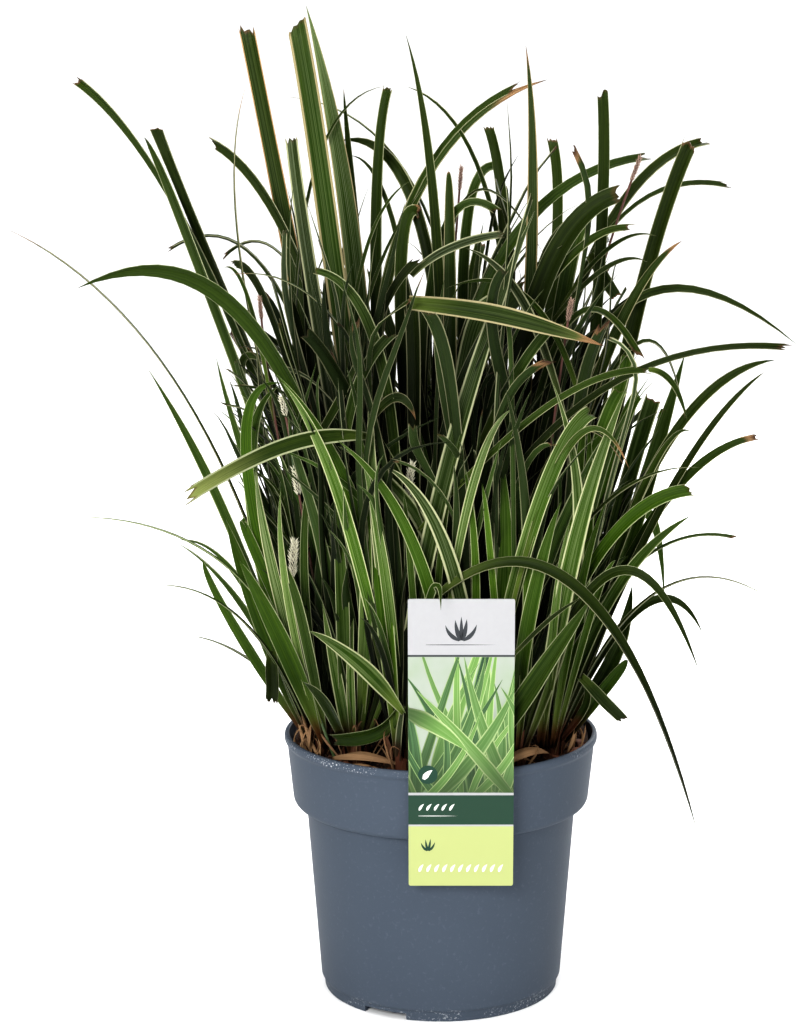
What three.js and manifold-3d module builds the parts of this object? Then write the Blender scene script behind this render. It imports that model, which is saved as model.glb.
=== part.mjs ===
// A variegated carex sedge in its plastic nursery pot, with a plant label hooked over the rim.
// Millimetres, +Z up. The origin is the middle of the pot's underside, and -Y is the side with the label.
// Every crown of the sedge is one solid: a sheathed base that stands in a hole in the soil, with its leaves
// fused into it. A leaf is a thin keeled blade swept along a quadratic curve.

import * as THREE from "three";
import { mergeVertices } from "three/addons/utils/BufferGeometryUtils.js";
import Module from "manifold-3d";

const wasm = await Module();
wasm.setup();

// ---------------------------------------------------------------------------------- driving dimensions

const GAP = 0.3; // clearance between pieces that touch on the real thing
const POT = {
  height: 160,
  rimRadius: 95, // outer radius of the bead at the rim
  bodyTopRadius: 82,
  bodyLowRadius: 73.6,
  footRadius: 71.5,
  collarLowZ: 117, // the step where the body widens into the collar
  collarInset: 5.2, // the collar's low edge, in from the rim's outer radius
  wall: 1.4,
  floorZ: 6, // top of the base plate
  channelZ: 4, // height of the drainage channels under the base plate
  sides: 34,
};
const DRAIN = { notches: 3, notchWide: 28, firstNotchDeg: -118, holes: 6, holeRadius: 6, holeRing: 50 };
const SOIL = { rimZ: 150, moundZ: 156, bump: 1.3, sides: 26, chips: 9 };
const CROWN = { radius: 6.5, topRadius: 5.6, depth: 26, rise: 15, sides: 6, leafRootRise: 4 };
const LABEL = {
  wide: 60.4,
  thick: 0.8,
  lowZ: 91,
  topZ: 264,
  centreX: 11.6,
  leanDeg: 4.5, // the top leans away from the plant
  backY: -95.4, // its back rests against the rim of the pot
  tongueWide: 14,
};
const LEAF_THICK = 1.1; // through the keel
const DEG = Math.PI / 180;

// ---------------------------------------------------------------------------------- small helpers

// A closed three.js geometry as a solid that can be cut and joined.
function solidOf(geometry) {
  const bare = new THREE.BufferGeometry();
  bare.setAttribute("position", geometry.getAttribute("position"));
  if (geometry.index) bare.setIndex(geometry.index);
  const merged = mergeVertices(bare, 1e-4);
  return new wasm.Manifold(
    new wasm.Mesh({
      numProp: 3,
      vertProperties: merged.attributes.position.array,
      triVerts: new Uint32Array(merged.index.array),
    }),
  );
}

// The largest body of a solid: sealed hollows are filled and loose scraps are dropped.
function oneBody(solid) {
  const bodies = solid.decompose();
  return bodies.reduce((best, body) => (body.volume() > best.volume() ? body : best));
}

function geometryOf(solid) {
  const mesh = solid.getMesh();
  const geometry = new THREE.BufferGeometry();
  const points = new Float32Array(mesh.numVert * 3);
  for (let i = 0; i < mesh.numVert; i++) {
    points.set(mesh.vertProperties.subarray(i * mesh.numProp, i * mesh.numProp + 3), i * 3);
  }
  geometry.setAttribute("position", new THREE.BufferAttribute(points, 3));
  geometry.setIndex(new THREE.BufferAttribute(mesh.triVerts, 1));
  geometry.computeVertexNormals();
  return geometry;
}

// A solid of revolution about +Z from [radius, height] points that start and end on the axis.
function lathe(profile, sides) {
  const points = profile.map(([r, z]) => new THREE.Vector2(r, z));
  return solidOf(new THREE.LatheGeometry(points, sides).rotateX(Math.PI / 2));
}

function box(x0, x1, y0, y1, z0, z1) {
  const geometry = new THREE.BoxGeometry(x1 - x0, y1 - y0, z1 - z0);
  return solidOf(geometry.translate((x0 + x1) / 2, (y0 + y1) / 2, (z0 + z1) / 2));
}

function cylinder(x, y, lowZ, highZ, lowRadius, highRadius, sides) {
  const geometry = new THREE.CylinderGeometry(highRadius, lowRadius, highZ - lowZ, sides);
  return solidOf(geometry.rotateX(Math.PI / 2).translate(x, y, (lowZ + highZ) / 2));
}

// Repeatable draws between 0 and 1 from a whole-number seed.
function drawsFrom(seed) {
  let state = (seed * 2654435 + 12345) % 4294967296;
  const next = () => {
    state = (state * 1664525 + 1013904223) % 4294967296;
    return state / 4294967296;
  };
  next();
  return next;
}

// ---------------------------------------------------------------------------------- pot

function makePot() {
  const { height, rimRadius, bodyTopRadius, bodyLowRadius, footRadius, collarLowZ, wall } = POT;
  const collarRadius = rimRadius - POT.collarInset;
  const centralPad = 18;
  const footRing = 4.5; // width of the ring that the pot stands on
  const profile = [
    [0, 0],
    [centralPad, 0],
    [centralPad + 1, POT.channelZ],
    [footRadius - footRing - 0.5, POT.channelZ],
    [footRadius - footRing + 0.5, 0],
    [footRadius, 0],
    [footRadius + 0.7, 6],
    [bodyLowRadius, 7.2],
    [bodyTopRadius, collarLowZ - 1],
    [collarRadius - 1.4, collarLowZ],
    [collarRadius, collarLowZ + 2.5],
    [rimRadius - 1.6, height - 6],
    [rimRadius, height - 4],
    [rimRadius, height - 1],
    [rimRadius - 1, height],
    [rimRadius - 3, height],
    [collarRadius - wall, collarLowZ + 4],
    [bodyTopRadius - wall, collarLowZ + 1.6],
    [bodyLowRadius - wall - 1, POT.floorZ],
    [0, POT.floorZ],
  ];
  let pot = lathe(profile, POT.sides);
  for (let i = 0; i < DRAIN.notches; i++) {
    const notch = new THREE.BoxGeometry(18, DRAIN.notchWide, 2 * POT.channelZ);
    notch.translate(footRadius, 0, 0);
    notch.rotateZ((DRAIN.firstNotchDeg + (360 / DRAIN.notches) * i) * DEG);
    pot = pot.subtract(solidOf(notch));
  }
  for (let i = 0; i < DRAIN.holes; i++) {
    const turn = ((360 / DRAIN.holes) * i + 15) * DEG;
    const [x, y] = [DRAIN.holeRing * Math.cos(turn), DRAIN.holeRing * Math.sin(turn)];
    pot = pot.subtract(cylinder(x, y, -1, POT.floorZ + 1, DRAIN.holeRadius, DRAIN.holeRadius, 10));
  }
  return pot;
}

// ---------------------------------------------------------------------------------- crowns

// One crown in the middle, seven round it, and thirteen by the wall, a little out of line.
function crownPlaces() {
  const rings = [
    { count: 1, radius: 0, turnDeg: 0 },
    { count: 7, radius: 37, turnDeg: 20 },
    { count: 13, radius: 74, turnDeg: 4 },
  ];
  const places = [];
  const draw = drawsFrom(7);
  for (const ring of rings) {
    for (let i = 0; i < ring.count; i++) {
      const turn = (ring.turnDeg + (360 / ring.count) * i + (draw() - 0.5) * 7) * DEG;
      const radius = ring.radius + (draw() - 0.5) * Math.min(6, ring.radius);
      places.push([radius * Math.cos(turn), radius * Math.sin(turn)]);
    }
  }
  return places;
}

const CROWNS = crownPlaces();

function soilZ(x, y) {
  const share = Math.min(1, Math.hypot(x, y) / (POT.rimRadius - 4));
  return SOIL.rimZ + (SOIL.moundZ - SOIL.rimZ) * (1 - share ** 3);
}

function makeCrown([x, y]) {
  const top = soilZ(x, y);
  const profile = [
    [0, top - CROWN.depth],
    [CROWN.radius, top - CROWN.depth + 8],
    [CROWN.radius, top + 2],
    [CROWN.topRadius, top + CROWN.rise],
    [0, top + CROWN.rise + 1],
  ];
  return lathe(profile, CROWN.sides).translate([x, y, 0]);
}

// ---------------------------------------------------------------------------------- soil

function makeSoil(spikes) {
  const wallOut = POT.bodyLowRadius - POT.wall - 1 - GAP;
  const stepOut = POT.bodyTopRadius - POT.wall - GAP;
  const collarOut = POT.rimRadius - POT.collarInset - POT.wall - 2 * GAP;
  const profile = [
    [0, POT.floorZ + GAP],
    [wallOut - 0.5, POT.floorZ + GAP],
    [stepOut - 0.3, POT.collarLowZ + 2.1],
    [collarOut, POT.collarLowZ + 4.7],
    [collarOut + 2.3, SOIL.rimZ],
    ...[80, 64, 46, 26].map((r) => [r, soilZ(r, 0)]),
    [0, soilZ(0, 0)],
  ];
  const points = profile.map(([r, z]) => new THREE.Vector2(r, z));
  const geometry = new THREE.LatheGeometry(points, SOIL.sides).rotateX(Math.PI / 2);
  const at = geometry.getAttribute("position");
  for (let i = 0; i < at.count; i++) {
    const [x, y, z] = [at.getX(i), at.getY(i), at.getZ(i)];
    if (z > SOIL.rimZ + 0.1) at.setZ(i, z + SOIL.bump * Math.sin(x * 0.31 + 1) * Math.cos(y * 0.27));
  }
  let soil = solidOf(geometry);
  for (const chip of barkChips()) soil = soil.add(chip);
  for (const [x, y] of CROWNS) {
    const radius = CROWN.radius + GAP + 0.4;
    const low = soilZ(x, y) - CROWN.depth - GAP;
    soil = soil.subtract(cylinder(x, y, low, POT.height + 10, radius, radius, CROWN.sides));
  }
  for (const { root } of spikes) {
    const low = root.z - SPIKE.depth - GAP;
    soil = soil.subtract(cylinder(root.x, root.y, low, POT.height + 10, 2.4, 2.4, 6));
  }
  return oneBody(soil.subtract(makeTongue(GAP)));
}

// Flat flakes of bark, half sunk in the soil between the crowns.
function barkChips() {
  const draw = drawsFrom(31);
  const chips = [];
  for (let tries = 0; chips.length < SOIL.chips && tries < 400; tries++) {
    const radius = 88 * Math.sqrt(draw());
    const turn = draw() * 2 * Math.PI;
    const [x, y] = [radius * Math.cos(turn), radius * Math.sin(turn)];
    const long = 8 + 9 * draw();
    const clearOfCrowns = CROWNS.every(([cx, cy]) => Math.hypot(x - cx, y - cy) > 10 + long / 3);
    const clearOfWall = radius + long / 2 < 88;
    const clearOfTongue = Math.hypot(x - LABEL.centreX, y + 84) > 12 + long / 2;
    if (!clearOfCrowns || !clearOfWall || !clearOfTongue) continue;
    const chip = new THREE.BoxGeometry(long, long * 0.5, 2.6);
    chip.rotateX((draw() - 0.5) * 0.7).rotateY((draw() - 0.5) * 0.5).rotateZ(draw() * Math.PI);
    chips.push(solidOf(chip.translate(x, y, soilZ(x, y) + 0.7)));
  }
  return chips;
}

// ---------------------------------------------------------------------------------- label

// The tongue that holds the label: it leaves the card above the rim and goes down into the soil.
function makeTongue(grow = 0) {
  const half = LABEL.thick / 2 + grow;
  const { backY } = LABEL;
  const middle = [
    [backY - 2.4, POT.height + 13],
    [backY + 5, POT.height + 12],
    [backY + 9.5, POT.height + 8],
    [backY + 11, POT.height],
    [backY + 12, POT.height - 36 - grow],
  ];
  const outer = middle.map((_, i) => offsetPoint(middle, i, half));
  const inner = middle.map((_, i) => offsetPoint(middle, i, -half)).reverse();
  const outline = new THREE.Shape([...outer, ...inner].map(([y, z]) => new THREE.Vector2(y, z)));
  const wide = LABEL.tongueWide + 2 * grow;
  const geometry = new THREE.ExtrudeGeometry(outline, { depth: wide, bevelEnabled: false });
  // The outline's x and y become Y and Z, and its depth becomes X.
  geometry.rotateY(Math.PI / 2).rotateX(Math.PI / 2);
  return solidOf(geometry.translate(LABEL.centreX - wide / 2, 0, 0));
}

// Point i of a line moved sideways by the given distance.
function offsetPoint(line, i, distance) {
  const [y0, z0] = line[Math.max(0, i - 1)];
  const [y1, z1] = line[Math.min(line.length - 1, i + 1)];
  const length = Math.hypot(y1 - y0, z1 - z0);
  return [line[i][0] + ((z1 - z0) / length) * distance, line[i][1] - ((y1 - y0) / length) * distance];
}

function makeLabel() {
  const lean = LABEL.leanDeg * DEG;
  const long = (LABEL.topZ - LABEL.lowZ) / Math.cos(lean);
  const card = new THREE.BoxGeometry(LABEL.wide, LABEL.thick, long).rotateX(lean);
  const middleZ = (LABEL.topZ + LABEL.lowZ) / 2;
  const middleY = LABEL.backY - LABEL.thick / 2 - (middleZ - POT.height) * Math.tan(lean);
  return solidOf(card.translate(LABEL.centreX, middleY, middleZ)).add(makeTongue());
}

// ---------------------------------------------------------------------------------- leaves

// A leaf is { crown, root, mid, tip, wide, side, turnDeg, twistDeg, cut, steps }.
// Its curve passes through mid half way; side is the way its width points before it is turned.
function curveOf(leaf) {
  const knee = leaf.mid.clone().multiplyScalar(2).addScaledVector(leaf.root, -0.5);
  knee.addScaledVector(leaf.tip, -0.5);
  return new THREE.QuadraticBezierCurve3(leaf.root, knee, leaf.tip);
}

// Share of the full width at a share t of the length. A pointed leaf tapers; a cut one ends wide.
function widthShare(t, cut) {
  const opening = 0.36 + 0.64 * Math.sin((Math.PI / 2) * Math.min(1, t / 0.35));
  if (cut) return opening * (1 - 0.2 * Math.max(0, t - 0.35));
  return t < 0.35 ? opening : 1 - ((t - 0.35) / 0.65) ** 1.7;
}

// How far the two halves of the blade are folded up from flat, most at the base.
function foldAngle(t) {
  return (14 + 36 * (1 - t) ** 3) * DEG;
}

// Rings of four points round the blade: left edge, keel below, right edge, and the groove above.
// grow widens and thickens the blade, to test that it keeps clear of its neighbours.
function leafRings(leaf, grow = 0) {
  const curve = curveOf(leaf);
  const rings = [];
  const count = leaf.cut ? leaf.steps + 1 : leaf.steps;
  for (let i = 0; i < count; i++) {
    const t = i / leaf.steps;
    const centre = curve.getPoint(t);
    const along = curve.getTangent(t);
    const across = leaf.side.clone().applyAxisAngle(along, (leaf.turnDeg + leaf.twistDeg * t) * DEG);
    across.addScaledVector(along, -across.dot(along)).normalize();
    const up = new THREE.Vector3().crossVectors(across, along);
    const half = (leaf.wide / 2) * widthShare(t, leaf.cut) + grow;
    const [out, rise] = [half * Math.cos(foldAngle(t)), half * Math.sin(foldAngle(t))];
    const keel = LEAF_THICK / 2 + grow;
    const at = (x, z) => centre.clone().addScaledVector(across, x).addScaledVector(up, z);
    rings.push([at(-out, rise), at(0, -keel), at(out, rise), at(0, keel)]);
  }
  if (!leaf.cut) rings.push([curve.getPoint(1)]);
  return rings;
}

// Joins rings of points into one closed skin. A ring of one point closes the end.
// Every other quad is split the other way, so that both faces of a thin blade are split alike.
function skinOf(rings) {
  const faces = [];
  const starts = [];
  let count = 0;
  for (const ring of rings) {
    starts.push(count);
    count += ring.length;
  }
  const sides = Math.max(...rings.map((ring) => ring.length));
  for (let i = 0; i < rings.length - 1; i++) {
    const [low, high] = [starts[i], starts[i + 1]];
    for (let k = 0; k < sides; k++) {
      const next = (k + 1) % sides;
      if (rings[i].length === 1) faces.push(low, high + k, high + next);
      else if (rings[i + 1].length === 1) faces.push(low + k, high, low + next);
      else if (k % 2) faces.push(low + k, high + k, low + next, low + next, high + k, high + next);
      else faces.push(low + k, high + next, low + next, low + k, high + k, high + next);
    }
  }
  const cap = (start, size, flip) => {
    for (let k = 1; k < size - 1; k++) {
      const [one, two] = [start + ((k + 1) % size), start + ((k + 2) % size)];
      faces.push(start + 1, flip ? two : one, flip ? one : two);
    }
  };
  const last = rings.length - 1;
  if (rings[0].length > 1) cap(starts[0], rings[0].length, false);
  if (rings[last].length > 1) cap(starts[last], rings[last].length, true);
  const geometry = new THREE.BufferGeometry().setFromPoints(rings.flat());
  geometry.setIndex(faces);
  return solidOf(geometry);
}

function leafSolid(leaf, grow = 0, from = 0) {
  return skinOf(leafRings(leaf, grow).slice(from));
}

// Boxes round each step of the blade, for a quick test of which blades can meet.
function stepBoxes(leaf, from = 0) {
  const rings = leafRings(leaf, 0.5).slice(from);
  return rings.slice(1).map((ring, i) => new THREE.Box3().setFromPoints([...rings[i], ...ring]));
}

// ---------------------------------------------------------------------------------- leaf list

// Leaves that give the clump its outline, each placed by hand:
// [crown near x, y,  middle x, y, z,  tip x, y, z,  width, turn in degrees, "cut" or "point"]
const LEADING_LEAVES = [
  [-25, -10, -58, -24, 412, -84, -30, 588, 14, 85, "point"],
  [0, -74, 64, -104, 282, 144, -128, 136, 11, 30, "point"],
  [20, -74, -30, -98, 348, -146, -122, 322, 14, 40, "cut"],
  [-76, -28, -96, -44, 220, -98, -52, 190, 11, 60, "cut"],
  [-10, -60, -12, -72, 390, 90, -98, 406, 13, 60, "point"],
  [-20, 0, -46, -12, 418, -74, -12, 592, 10, 85, "cut"],
  [-36, 10, -80, -4, 408, -112, -10, 582, 12.5, 80, "cut"],
  [60, 20, 110, 14, 378, 148, 10, 516, 11, 70, "cut"],
  [74, -10, 128, -22, 328, 194, -32, 390, 10, 55, "cut"],
  [-36, -30, -96, -60, 400, -204, -72, 436, 10, 55, "cut"],
  [-10, -60, -6, -96, 258, 0, -124, 262, 8, 40, "point"],
  [20, -74, 0, -80, 282, -58, -86, 348, 12, 70, "point"],
  [66, -35, 82, -66, 272, 84, -70, 360, 11, 80, "point"],
  [-36, 10, -130, 0, 428, -212, -10, 552, 9, 40, "cut"],
  [-36, 10, -132, -24, 426, -170, -30, 518, 11, 50, "point"],
  [-30, 30, -130, 22, 428, -168, 24, 522, 11, 50, "cut"],
  [-36, -10, -108, -40, 408, -110, -42, 548, 3, 20, "point"],
  [-10, 36, -72, 30, 408, -138, 36, 514, 9, 45, "cut"],
  [-40, -20, -66, -44, 386, -84, -50, 520, 10, 80, "cut"],
  [-30, 40, -48, 40, 430, -58, 40, 544, 7, 60, "point"],
  [-10, 36, -38, 32, 418, -30, 36, 546, 9, 60, "cut"],
  [-70, 20, -84, 20, 444, -32, 16, 546, 5, 25, "point"],
  [20, 30, 2, 18, 444, -92, 10, 540, 5, 20, "point"],
  [-36, 10, -88, 26, 408, -166, 32, 448, 6, 25, "cut"],
  [-10, 36, -74, 44, 406, -134, 50, 442, 5, 25, "cut"],
  [-70, -20, -146, -24, 362, -254, -20, 466, 5, 15, "point"],
  [-10, -36, -40, -56, 382, -122, -62, 442, 5, 20, "point"],
  [-10, -60, -28, -70, 372, -72, -76, 448, 10, 45, "cut"],
  [-74, -20, -122, -30, 290, -170, -36, 386, 9, 60, "point"],
  [-60, 30, -108, 8, 300, -134, 10, 386, 9, 55, "point"],
  [-20, -70, -44, -76, 298, -92, -82, 388, 11, 75, "point"],
  [-70, -10, -108, -42, 310, -92, -52, 378, 13, 50, "point"],
  [0, 0, 0, -20, 424, -20, -22, 576, 8, 80, "point"],
  [36, 0, 38, 8, 438, -20, 6, 546, 4, 20, "point"],
  [-20, 20, -30, -8, 436, 62, 0, 550, 8, 50, "point"],
  [-30, 10, -34, 16, 424, 48, 26, 546, 6, 40, "cut"],
  [36, -10, 52, -32, 424, 48, -40, 570, 9, 75, "point"],
  [20, 30, 38, 20, 402, 28, 20, 524, 8, 75, "cut"],
  [36, 36, 64, 36, 394, 66, 36, 516, 8, 80, "cut"],
  [55, 10, 92, 0, 404, 94, -6, 546, 10, 75, "cut"],
  [36, 0, 78, 20, 420, 174, 22, 486, 6, 25, "cut"],
  [0, 0, 20, -30, 414, 122, -22, 506, 9, 45, "cut"],
  [36, 10, 80, 2, 420, 156, 2, 514, 8, 50, "cut"],
  [20, -20, 50, -32, 402, 110, -38, 486, 13, 60, "cut"],
  [50, -10, 88, -32, 368, 138, -42, 460, 8, 50, "point"],
  [50, 30, 94, 0, 400, 210, -10, 396, 4.5, 10, "point"],
  [-20, -30, 60, -76, 352, 202, -60, 400, 4.5, 15, "cut"],
  [70, -30, 132, -42, 310, 186, -52, 386, 6, 50, "point"],
  [74, -10, 124, -46, 298, 184, -58, 348, 8, 35, "cut"],
  [55, -50, 90, -80, 282, 144, -96, 324, 10, 45, "cut"],
  [20, -60, 76, -76, 292, 146, -86, 336, 5, 15, "point"],
  [-20, -70, 2, -76, 342, 50, -60, 436, 12, 70, "cut"],
  [50, -60, 78, -76, 280, 62, -86, 386, 9, 75, "point"],
  [74, 10, 114, 0, 280, 144, -6, 390, 9, 65, "point"],
  [50, 10, 88, -48, 358, 140, -62, 358, 6, 15, "point"],
  [20, -50, 60, -80, 334, 104, -92, 336, 5.5, 25, "point"],
  [36, -10, 64, -50, 392, 114, -56, 392, 8, 30, "cut"],
  [0, -36, 6, -30, 418, 4, -28, 498, 10, 70, "point"],
  [36, 0, 14, 6, 422, 34, 10, 498, 9, 55, "cut"],
  [0, 0, -6, -6, 420, 34, -2, 472, 8, 50, "cut"],
  [0, 0, 4, -14, 452, 60, -30, 450, 5, 30, "point"],
  [0, -36, -4, 10, 436, -60, 20, 514, 8, 60, "point"],
  [0, 0, -18, 0, 422, -54, 6, 506, 6, 50, "point"],
  [74, 0, 108, -8, 298, 126, -10, 366, 12, 70, "cut"],
  [36, -20, 88, -42, 322, 108, -46, 396, 9, 60, "cut"],
  [60, -40, 84, -60, 312, 104, -66, 378, 10, 60, "cut"],
  [60, -50, 76, -72, 304, 82, -78, 366, 8, 80, "point"],
  [74, 0, 126, 20, 334, 130, 24, 368, 8, 60, "point"],
  [-76, -10, -116, -20, 254, -156, -26, 282, 7, 45, "point"],
  [-76, -10, -122, -30, 234, -140, -34, 272, 10, 55, "point"],
  [-60, -45, -104, -56, 276, -112, -60, 296, 9, 60, "point"],
  [-36, -30, -14, -50, 358, -12, -52, 428, 14, 75, "cut"],
  [0, -36, 14, -46, 380, 40, -54, 416, 13, 60, "cut"],
  [-30, 20, -114, 10, 360, -84, -4, 368, 9, 45, "point"],
  [36, 10, 68, -12, 396, 84, -14, 468, 12, 70, "cut"],
  [-25, -74, -36, -92, 218, -74, -106, 246, 10, 50, "point"],
  [-20, -74, -34, -86, 276, -46, -86, 358, 12, 80, "point"],
  [30, -74, 36, -80, 258, 34, -80, 344, 13, 85, "point"],
  [40, -70, 50, -86, 254, 44, -88, 326, 8, 80, "point"],
  [-30, -60, -36, -76, 246, -66, -86, 292, 10, 50, "point"],
  [-62, -45, -60, -66, 208, -68, -72, 254, 8, 80, "point"],
  [-62, -45, -52, -70, 208, -50, -76, 252, 6, 80, "point"],
  [-76, -10, -104, -44, 238, -124, -56, 300, 14, 70, "point"],
  [-70, -20, -120, -42, 266, -218, -46, 300, 5, 15, "point"],
  [-76, -10, -114, -28, 240, -156, -32, 282, 8, 40, "point"],
  [-70, -25, -112, -56, 238, -164, -66, 264, 5, 20, "point"],
  [-80, 0, -110, -20, 206, -150, -24, 224, 5, 20, "point"],
  [80, -20, 86, -62, 200, 106, -78, 184, 9, 50, "cut"],
  [60, -50, 122, -76, 260, 190, -84, 258, 3.5, 10, "point"],
  [55, -50, 106, -62, 268, 174, -68, 290, 4.5, 20, "cut"],
  [60, -40, 98, -72, 256, 142, -84, 308, 6, 40, "point"],
  [70, 0, 116, 10, 288, 136, 14, 238, 8, 50, "point"],
  [50, -50, 96, -86, 274, 146, -104, 222, 6, 25, "point"],
  [74, -20, 116, -58, 248, 152, -64, 234, 4.5, 15, "point"],
  [76, -10, 102, -32, 210, 112, -42, 258, 11, 60, "point"],
  [30, -74, 56, -96, 216, 84, -112, 266, 14, 60, "point"],
  [0, 0, -22, -36, 410, -12, -32, 474, 9, 65, "cut"],
  [-36, -10, -86, -30, 382, -120, -34, 446, 7, 50, "cut"],
  [60, -20, 96, -40, 314, 116, -44, 372, 9, 65, "cut"],
  [74, -10, 114, -60, 312, 142, -70, 354, 7, 45, "point"],
];

function nearestCrown(x, y) {
  const distance = ([cx, cy]) => Math.hypot(cx - x, cy - y);
  return CROWNS.reduce((best, crown, i) => (distance(crown) < distance(CROWNS[best]) ? i : best), 0);
}

// Where a leaf leaves its crown: off the crown's middle, towards the way it goes.
function rootOf(crown, wayX, wayY, offset) {
  const [x, y] = CROWNS[crown];
  const share = offset / Math.max(1e-6, Math.hypot(wayX, wayY));
  return new THREE.Vector3(x + wayX * share, y + wayY * share, soilZ(x, y) + CROWN.leafRootRise);
}

// The normal of the plane that a leaf bends in.
function bendNormal(root, mid, tip) {
  const normal = new THREE.Vector3().crossVectors(mid.clone().sub(root), tip.clone().sub(mid));
  return normal.length() < 1 ? new THREE.Vector3(0, -1, 0) : normal.normalize();
}

// A point moved back by some millimetres, and outwards with it, so that it stays in line with
// an eye level with the leaves, a metre and a half before the pot.
function movedBack(x, y, z, shift) {
  const grow = 1 + shift / 1530;
  return new THREE.Vector3(x * grow, y + shift, 580 + (z - 580) * grow);
}

// Leading leaf i leans back or forth by a draw of its own, the more the taller it is.
// Try k moves it on by a few millimetres, and turns its root about.
const LEADING_TRIES = 60;
function leadingLeaf(row, i, k) {
  const [cx, cy, mx, my, mz, tx, ty, tz, wide, turnDeg, end] = row;
  const crown = nearestCrown(cx, cy);
  const shift = Math.ceil((k % 20) / 2) * (k % 2 ? 3 : -3);
  const lean = Math.max(0, tz - 430) * (1.5 * drawsFrom(500 + i)() - 0.6);
  const mid = movedBack(mx, my, mz, shift * 0.7 + lean * 0.4);
  const tip = movedBack(tx, ty, tz, shift + lean);
  const way = new THREE.Vector2(mid.x - CROWNS[crown][0], mid.y - CROWNS[crown][1]);
  way.rotateAround(new THREE.Vector2(), [0, 0.9, -0.9][Math.floor(k / 20)]);
  const root = rootOf(crown, way.x, way.y, 3.4);
  const side = new THREE.Vector3(0, -1, 0);
  const bend = mid.clone().sub(root).angleTo(tip.clone().sub(mid));
  const steps = bend > 1 ? 9 : bend > 0.55 ? 7 : bend > 0.25 ? 5 : 4;
  return { crown, root, mid, tip, wide, side, turnDeg, twistDeg: 0, cut: end === "cut", steps };
}

// Leaves that fill a crown, by rule: each turns on by about a third, and leans out from the pot's middle.
// Every third one is an old, long leaf. The whole clump keeps the shape of a vase.
const FILLING_PER_CROWN = [8, 6, 5];
const FILLING_TRIES = 24;
function fillingLeaf(crown, i, k) {
  const [x, y] = CROWNS[crown];
  const draw = drawsFrom(1000 * crown + 40 * i + k);
  const turn = (120 * i + 49 * crown + (draw() - 0.5) * 80) * DEG;
  const way = new THREE.Vector2(0.55 * Math.cos(turn) + x / 95, 0.55 * Math.sin(turn) + y / 95);
  const old = i % 3 === 0;
  const length = old ? 280 + 130 * draw() : 110 + 150 * draw();
  const reach = length * (old ? 0.2 + 0.35 * draw() : 0.15 + 0.35 * draw());
  const droop = old ? 0.2 + 0.6 * draw() : 0.1 + 0.5 * draw();
  const high = length * Math.sqrt(1 - (reach / length) ** 2);
  const root = rootOf(crown, way.x, way.y, 1 + 3 * draw());
  const mid = root.clone().add(new THREE.Vector3(way.x * reach * 0.36, way.y * reach * 0.36, high * 0.56));
  const tip = root.clone();
  tip.add(new THREE.Vector3(way.x * reach, way.y * reach, high * (1 - 0.3 * droop)));
  const cut = old && draw() < 0.5;
  const wide = old ? 6 + 5 * draw() : 7 + 5 * draw();
  const side = bendNormal(root, mid, tip).negate();
  const turnDeg = (draw() - 0.5) * 70;
  const twistDeg = (draw() - 0.5) * 90;
  return { crown, root, mid, tip, wide, side, turnDeg, twistDeg, cut, steps: droop > 0.55 ? 5 : 4 };
}

// Whether a filling leaf stays inside the vase and out of the way of the label.
function staysInPlace(leaf) {
  const curve = curveOf(leaf);
  return [0.3, 0.5, 0.75, 1].every((t) => {
    const { x, y, z } = curve.getPoint(t);
    const allowed = z < 420 ? 96 + (z - 160) * 0.17 : 140 - (z - 420) * 0.4;
    const beforeLabel = y < -86 && x > LABEL.centreX - 38 && x < LABEL.centreX + 38 && z < 275;
    return Math.hypot(x, y * 0.9) < allowed && !beforeLabel;
  });
}

// ---------------------------------------------------------------------------------- flower spikes

// [foot x, y,  middle x, y, z,  top x, y, z,  head radius]
const FLOWER_SPIKES = [
  [-62, -50, -82, -62, 230, -84, -66, 290, 3.6],
  [-56, -34, -72, -50, 252, -84, -56, 330, 3.6],
  [-20, -58, -24, -66, 254, -16, -72, 336, 3.6],
  [-14, 16, 0, 10, 342, 12, 0, 500, 3],
  [52, 14, 72, 4, 344, 116, -4, 506, 3],
  [48, -40, 60, -56, 312, 74, -62, 428, 3],
  [-54, -12, -88, -36, 308, -104, -44, 428, 3],
];
const SPIKE = { stemRadius: 0.9, headLong: 27, depth: 14, tries: 40 };

// Try k of a spike moves its foot and top about by a few millimetres.
function spikeAt(row, k) {
  const [fx, fy, mx, my, mz, tx, ty, tz, radius] = row;
  const [dx, dy] = [Math.cos(k * 2.4) * 1.1 * Math.sqrt(k), Math.sin(k * 2.4) * 1.1 * Math.sqrt(k)];
  const foot = new THREE.Vector3(fx + dx, fy + dy, soilZ(fx + dx, fy + dy) + 2);
  const mid = new THREE.Vector3(mx + dx * 0.5, my + dy, mz);
  const tip = new THREE.Vector3(tx + dx * 0.3, ty + dy, tz);
  return { crown: -2, root: foot, mid, tip, radius };
}

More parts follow.
